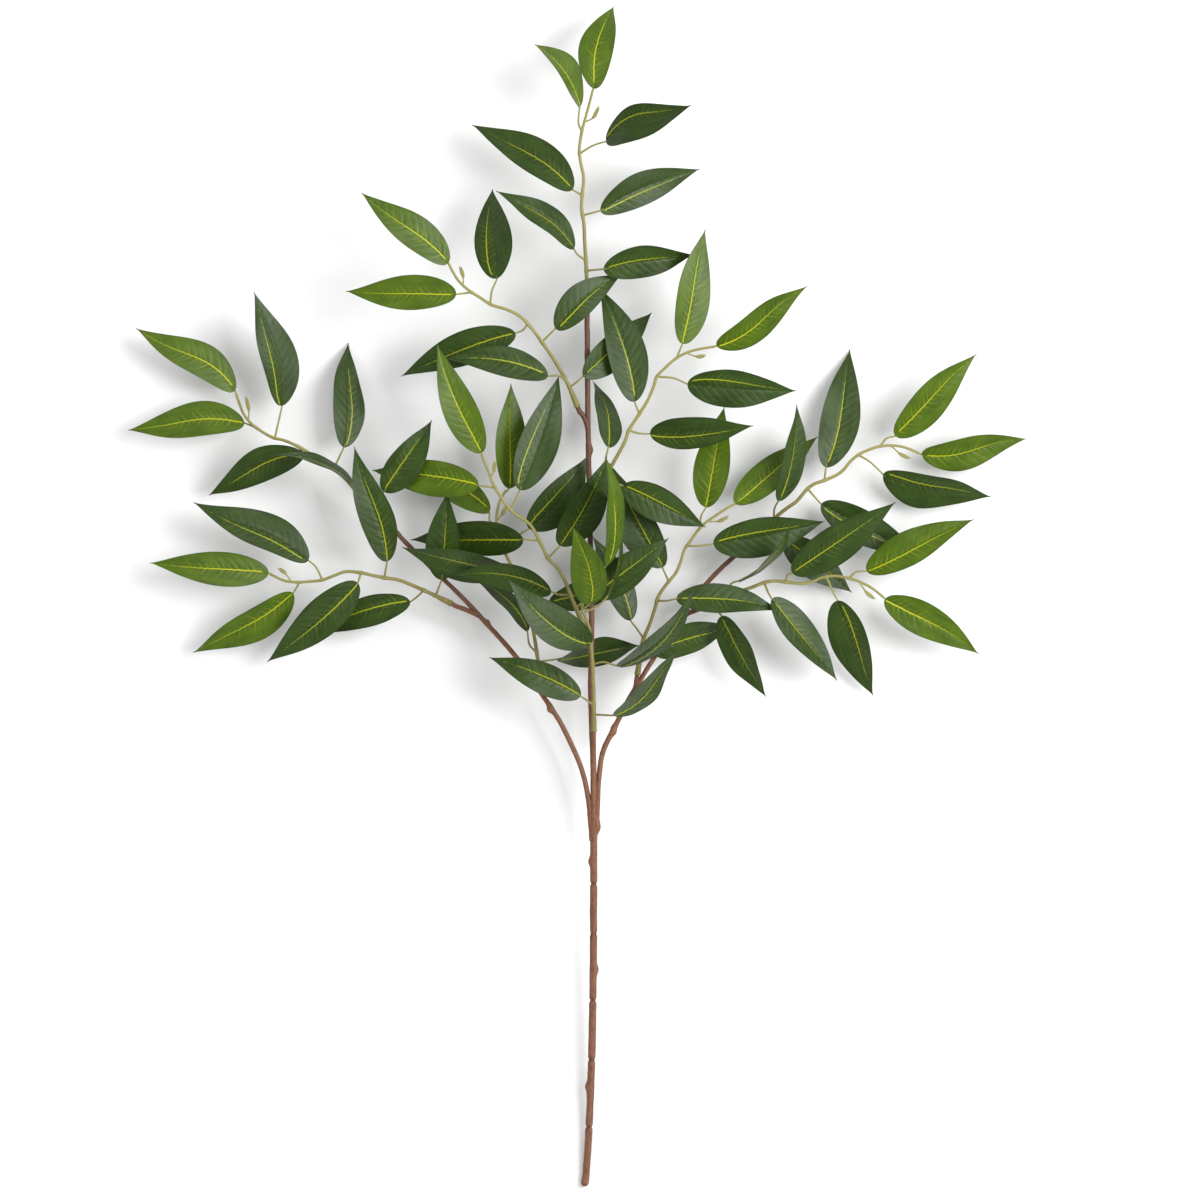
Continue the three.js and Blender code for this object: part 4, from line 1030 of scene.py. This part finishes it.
def bark_surface(settings):
    """Brown moulded bark, mottled, with painted shade darkening its hollows and grooves, pale flecks
    that are partly painted highlights, and painted shade under the leaves.
    """
    surface = Surface("moulded_bark", specular=0.5)
    upper, relief, _ = surface.layer("bark")
    east, north, up = surface.split(surface.place())
    mottle = surface.cloud(surface.joined(east, north * 0.35, up), BARK_MOTTLE, 3)
    fine = surface.cloud(surface.joined(east, north * 0.2, up), BARK_GRAIN, 2)
    # Painted shade in the hollows and grooves, mixed with the random mottle: low relief and low mottle
    # take the darker colour
    raised = (relief * 0.15 + mottle * 2).fade(0.5, 1.3)
    colour = surface.coated(
        surface.blended(raised, settings.mottle_and_hollow_shade, settings.light),
        # Pale flecks: partly the bark's speckles, partly painted highlights
        (fine.fade(0.55, 0.8) * 0.35, linear(*BARK_FLECK_AND_PAINTED_HIGHLIGHT)),
        (fine.fade(0.42, 0.25) * 0.4, linear(*BARK_PITS)),
        # Painted shade on the bark under the leaves, from y DARKENS onwards
        (upper * 0.58, linear(*UNDER_LEAF_PAINTED_SHADE)),
    )
    return surface.finish(colour, 0.5 + mottle * 0.2, fine * 0.5 + mottle, BARK_BUMP * MM)


def bark_noise(form, east, north, distance, seed):
    """One noise of the bark at a place round and along a stem."""
    around, along, share = form
    return noise.noise(Vector((east * around, north * around, distance * along + seed))) * share


def bark_relief(middles, radii, sides, seed, settings):
    """How far each point of a stem stands out from its round, in millimetres."""
    passed = np.concatenate([[0], np.cumsum(np.linalg.norm(np.diff(middles, axis=0), axis=1))])
    relief = np.zeros((len(middles), sides))
    for i, distance in enumerate(passed):
        for k, angle in enumerate(side_angles(sides)):
            east, north = math.sin(angle), math.cos(angle)
            relief[i, k] = bark_noise(WRINKLES, east, north, distance, seed)
            relief[i, k] += bark_noise(LUMPS, east, north, distance, seed * 3)
    relief *= settings.relief / MM
    surface = ring_points(middles, radii, sides)
    for x, y, z, size in SCARS:
        away = np.linalg.norm((surface - (x, y, z)) * (1, SCAR_SQUEEZE, 1), axis=-1)
        relief += size * SCAR_HEIGHT * np.exp(-((away / (size * SCAR_REACH)) ** 2))
    return relief


def add_stem(skin, rows, spray, settings, sides, seed, foot=False):
    """One length of stem with its bark, from rows of places on to a sleeve's mouth."""
    ends = [tuple(on_sleeve_axis(spray, distance)) for distance in (-BEFORE_MOUTH, -CLEARANCE)]
    line = Line([row[:3] for row in rows] + ends)
    radii = [row[3] for row in rows] + [rows[-1][3]] * 2
    rings = int(line.length() / RING_STEP)
    shares = np.linspace(0, 1, rings)
    middles = line.at(shares)
    thickness = np.interp(shares, np.linspace(0, 1, len(radii)), radii)
    relief = bark_relief(middles, thickness, sides, seed, settings)
    if foot:
        for joint in STEM_JOINTS:
            gap = np.abs(middles[:, 1] - joint)
            pinch = np.exp(-((gap / GROOVE_REACH) ** GROOVE_STEEPNESS))
            relief -= (settings.groove / MM * pinch)[:, None]
        above_foot = middles[:, 1] - middles[0, 1]
        relief += (BULB_HEIGHT * np.exp(-((above_foot / BULB_LENGTH) ** 2)))[:, None]
        back, cap = np.transpose(FOOT_ROUNDING)
        ends = middles[0] + np.outer(back * thickness[0], (0, -1, 0))
        middles = np.vstack([ends[::-1], middles])
        thickness = np.concatenate([(cap * thickness[0])[::-1], thickness])
        relief = np.vstack([np.zeros((len(cap), sides)), relief])
    points = ring_points(middles, thickness, sides, 1 + relief / thickness[:, None])
    height = np.clip(relief / (settings.relief / MM), *BARK_HEIGHTS)
    # Painted shade: the share of darker bark under the leaves, rising with y
    upper = np.clip((points[..., 1] - DARKENS[0]) / (DARKENS[1] - DARKENS[0]), 0, 1)
    bark = np.stack([upper, height, 0 * height], -1).reshape(-1, 3)
    skin.add(points, ring_faces(len(points), sides), bark=bark)


def add_peg(skin, spray):
    """The smooth peg that a sleeve is pushed onto."""
    places, radii = np.transpose(PEG_PROFILE)
    middles = np.array([on_sleeve_axis(spray, place) for place in places])
    add_tube(skin, middles, radii, PEG_SIDES, bark=np.tile((0.0, 0.2, 0.0), (len(places), 1)))


class RUSCUS_OT_stem(bpy.types.Operator):
    """Build the brown stem: its jointed length, two arms, side branches and pegs"""

    bl_idname = "ruscus.stem"
    bl_label = "Stem"

    def execute(self, context):
        bark = context.scene.ruscus.bark
        skin = Skin("bark")
        add_stem(skin, MAIN_PATH, SPRAYS["spray_top"], bark, STEM_SIDES, seed=0, foot=True)
        add_stem(skin, LEFT_ARM_PATH, SPRAYS["spray_left_end"], bark, ARM_SIDES, seed=11)
        add_stem(skin, RIGHT_ARM_PATH, SPRAYS["spray_right_end"], bark, ARM_SIDES, seed=23)
        for i, spray in enumerate(SPRAYS.values()):
            if spray.prong and spray is not SPRAYS["spray_top"]:
                rows = [(*row, PRONG_RADII[min(k, 1)]) for k, row in enumerate(spray.prong)]
                add_stem(skin, rows, spray, bark, PRONG_SIDES, seed=31 + i)
            add_peg(skin, spray)
        skin.build("stem_bark", bark_surface(bark), "stem")
        return {"FINISHED"}


class RUSCUS_OT_twigs(bpy.types.Operator):
    """Build each spray's moulded piece: sleeve, zigzag twig, stalks and bud"""

    bl_idname = "ruscus.twigs"
    bl_label = "Twigs"

    def execute(self, context):
        twigs = context.scene.ruscus.twigs
        blades = context.scene.ruscus.blades
        material = twig_surface(twigs)
        for name, spray in SPRAYS.items():
            line = twig_line(spray)
            skin = Skin("twig")
            add_sleeve(skin, spray)
            add_twig(skin, spray, line, twigs)
            for leaf in spray.leaves:
                add_stalk(skin, leaf, line, twigs, blades)
            add_bud(skin, spray, line)
            skin.build(name + "_twig", material, name)
        return {"FINISHED"}


class RUSCUS_OT_blades(bpy.types.Operator):
    """Build each spray's seven printed cloth blades"""

    bl_idname = "ruscus.blades"
    bl_label = "Blades"

    def execute(self, context):
        blades = context.scene.ruscus.blades
        material = blade_surface(blades)
        for name, spray in SPRAYS.items():
            skin = Skin("blade", "leaf", "printed")
            for i, leaf in enumerate(spray.leaves):
                width = leaf.width or BLADE_WIDTHS[i]
                rib = leaf.rib or BLADE_RIBS[i]
                youth = 1.0 if i in YOUNG_BLADES else 0.0
                add_blade(skin, leaf, width, rib, youth, f"{name} {i}", blades)
            skin.build(name + "_blades", material, name)
        return {"FINISHED"}


class RUSCUS_OT_stage(bpy.types.Operator):
    """Set the camera straight above the stem, a pale table under it and soft lights round it"""

    bl_idname = "ruscus.stage"
    bl_label = "Stage"

    def execute(self, context):
        stage = context.scene.ruscus.stage
        self.add_camera(stage)
        self.add_floor(stage)
        self.add_lights()
        return {"FINISHED"}

    def add_camera(self, stage):
        data = bpy.data.cameras.new("above")
        data.sensor_width = SENSOR
        data.lens = data.sensor_width * stage.distance / stage.view
        data.clip_start = 0.1
        data.clip_end = 100
        camera = placed("above", data)
        camera.location = (VIEW_CENTRE[0] * MM, VIEW_CENTRE[1] * MM, stage.distance)
        bpy.context.scene.camera = camera

    def add_floor(self, stage):
        surface = Surface("table", specular=0.2)
        surface.set("Roughness", 0.9)
        surface.set("Base Color", stage.floor)
        mesh = bpy.data.meshes.new("table")
        low, high = -TABLE_REACH, TABLE_REACH
        corners = [(low, low), (high, low), (high, high), (low, high)]
        mesh.from_pydata([(x, y, TABLE_HEIGHT * MM) for x, y in corners], [], [(0, 1, 2, 3)])
        mesh.materials.append(surface.material)
        floor = placed("table", mesh)

    def add_lights(self):
        world = bpy.data.worlds.new("studio")
        world.use_nodes = True
        background = world.node_tree.nodes["Background"]
        background.inputs["Color"].default_value = (1, 1, 1, 1)
        background.inputs["Strength"].default_value = SKY_STRENGTH
        bpy.context.scene.world = world
        for name, place, size, power, gives_sheen in SOFT_LIGHTS:
            data = bpy.data.lights.new(name, "AREA")
            data.shape = "SQUARE"
            data.size = size
            data.energy = power
            light = placed(name, data)
            light.location = place
            light.rotation_mode = "QUATERNION"
            light.rotation_quaternion = Vector(place).to_track_quat("Z", "Y")
            light.visible_camera = False
            light.visible_glossy = gives_sheen
        bpy.context.scene.view_settings.view_transform = "Standard"


class RUSCUS_PT_pieces(bpy.types.Panel):
    """Lists the pieces of the stem with their sizes and colours"""

    bl_idname = "RUSCUS_PT_pieces"
    bl_label = "Ruscus Stem"
    bl_space_type = "VIEW_3D"
    bl_region_type = "UI"
    bl_category = "Ruscus"

    def draw(self, context):
        ruscus = context.scene.ruscus
        groups = {
            RUSCUS_OT_stem: ruscus.bark,
            RUSCUS_OT_twigs: ruscus.twigs,
            RUSCUS_OT_blades: ruscus.blades,
            RUSCUS_OT_stage: ruscus.stage,
        }
        for operator, group in groups.items():
            box = self.layout.box()
            for name in group.bl_rna.properties.keys():
                if name not in ("rna_type", "name"):
                    box.prop(group, name)
            box.operator(operator.bl_idname)


CLASSES = (
    RuscusBlades, RuscusTwigs, RuscusBark, RuscusStage, RuscusSettings,
    RUSCUS_OT_stem, RUSCUS_OT_twigs, RUSCUS_OT_blades, RUSCUS_OT_stage, RUSCUS_PT_pieces,
)


def register():
    for made in CLASSES:
        bpy.utils.register_class(made)
    bpy.types.Scene.ruscus = PointerProperty(type=RuscusSettings)


def unregister():
    del bpy.types.Scene.ruscus
    for made in reversed(CLASSES):
        bpy.utils.unregister_class(made)


def main():
    register()
    bpy.ops.ruscus.stem()
    bpy.ops.ruscus.twigs()
    bpy.ops.ruscus.blades()
    bpy.ops.ruscus.stage()


if __name__ == "__main__":
    main()
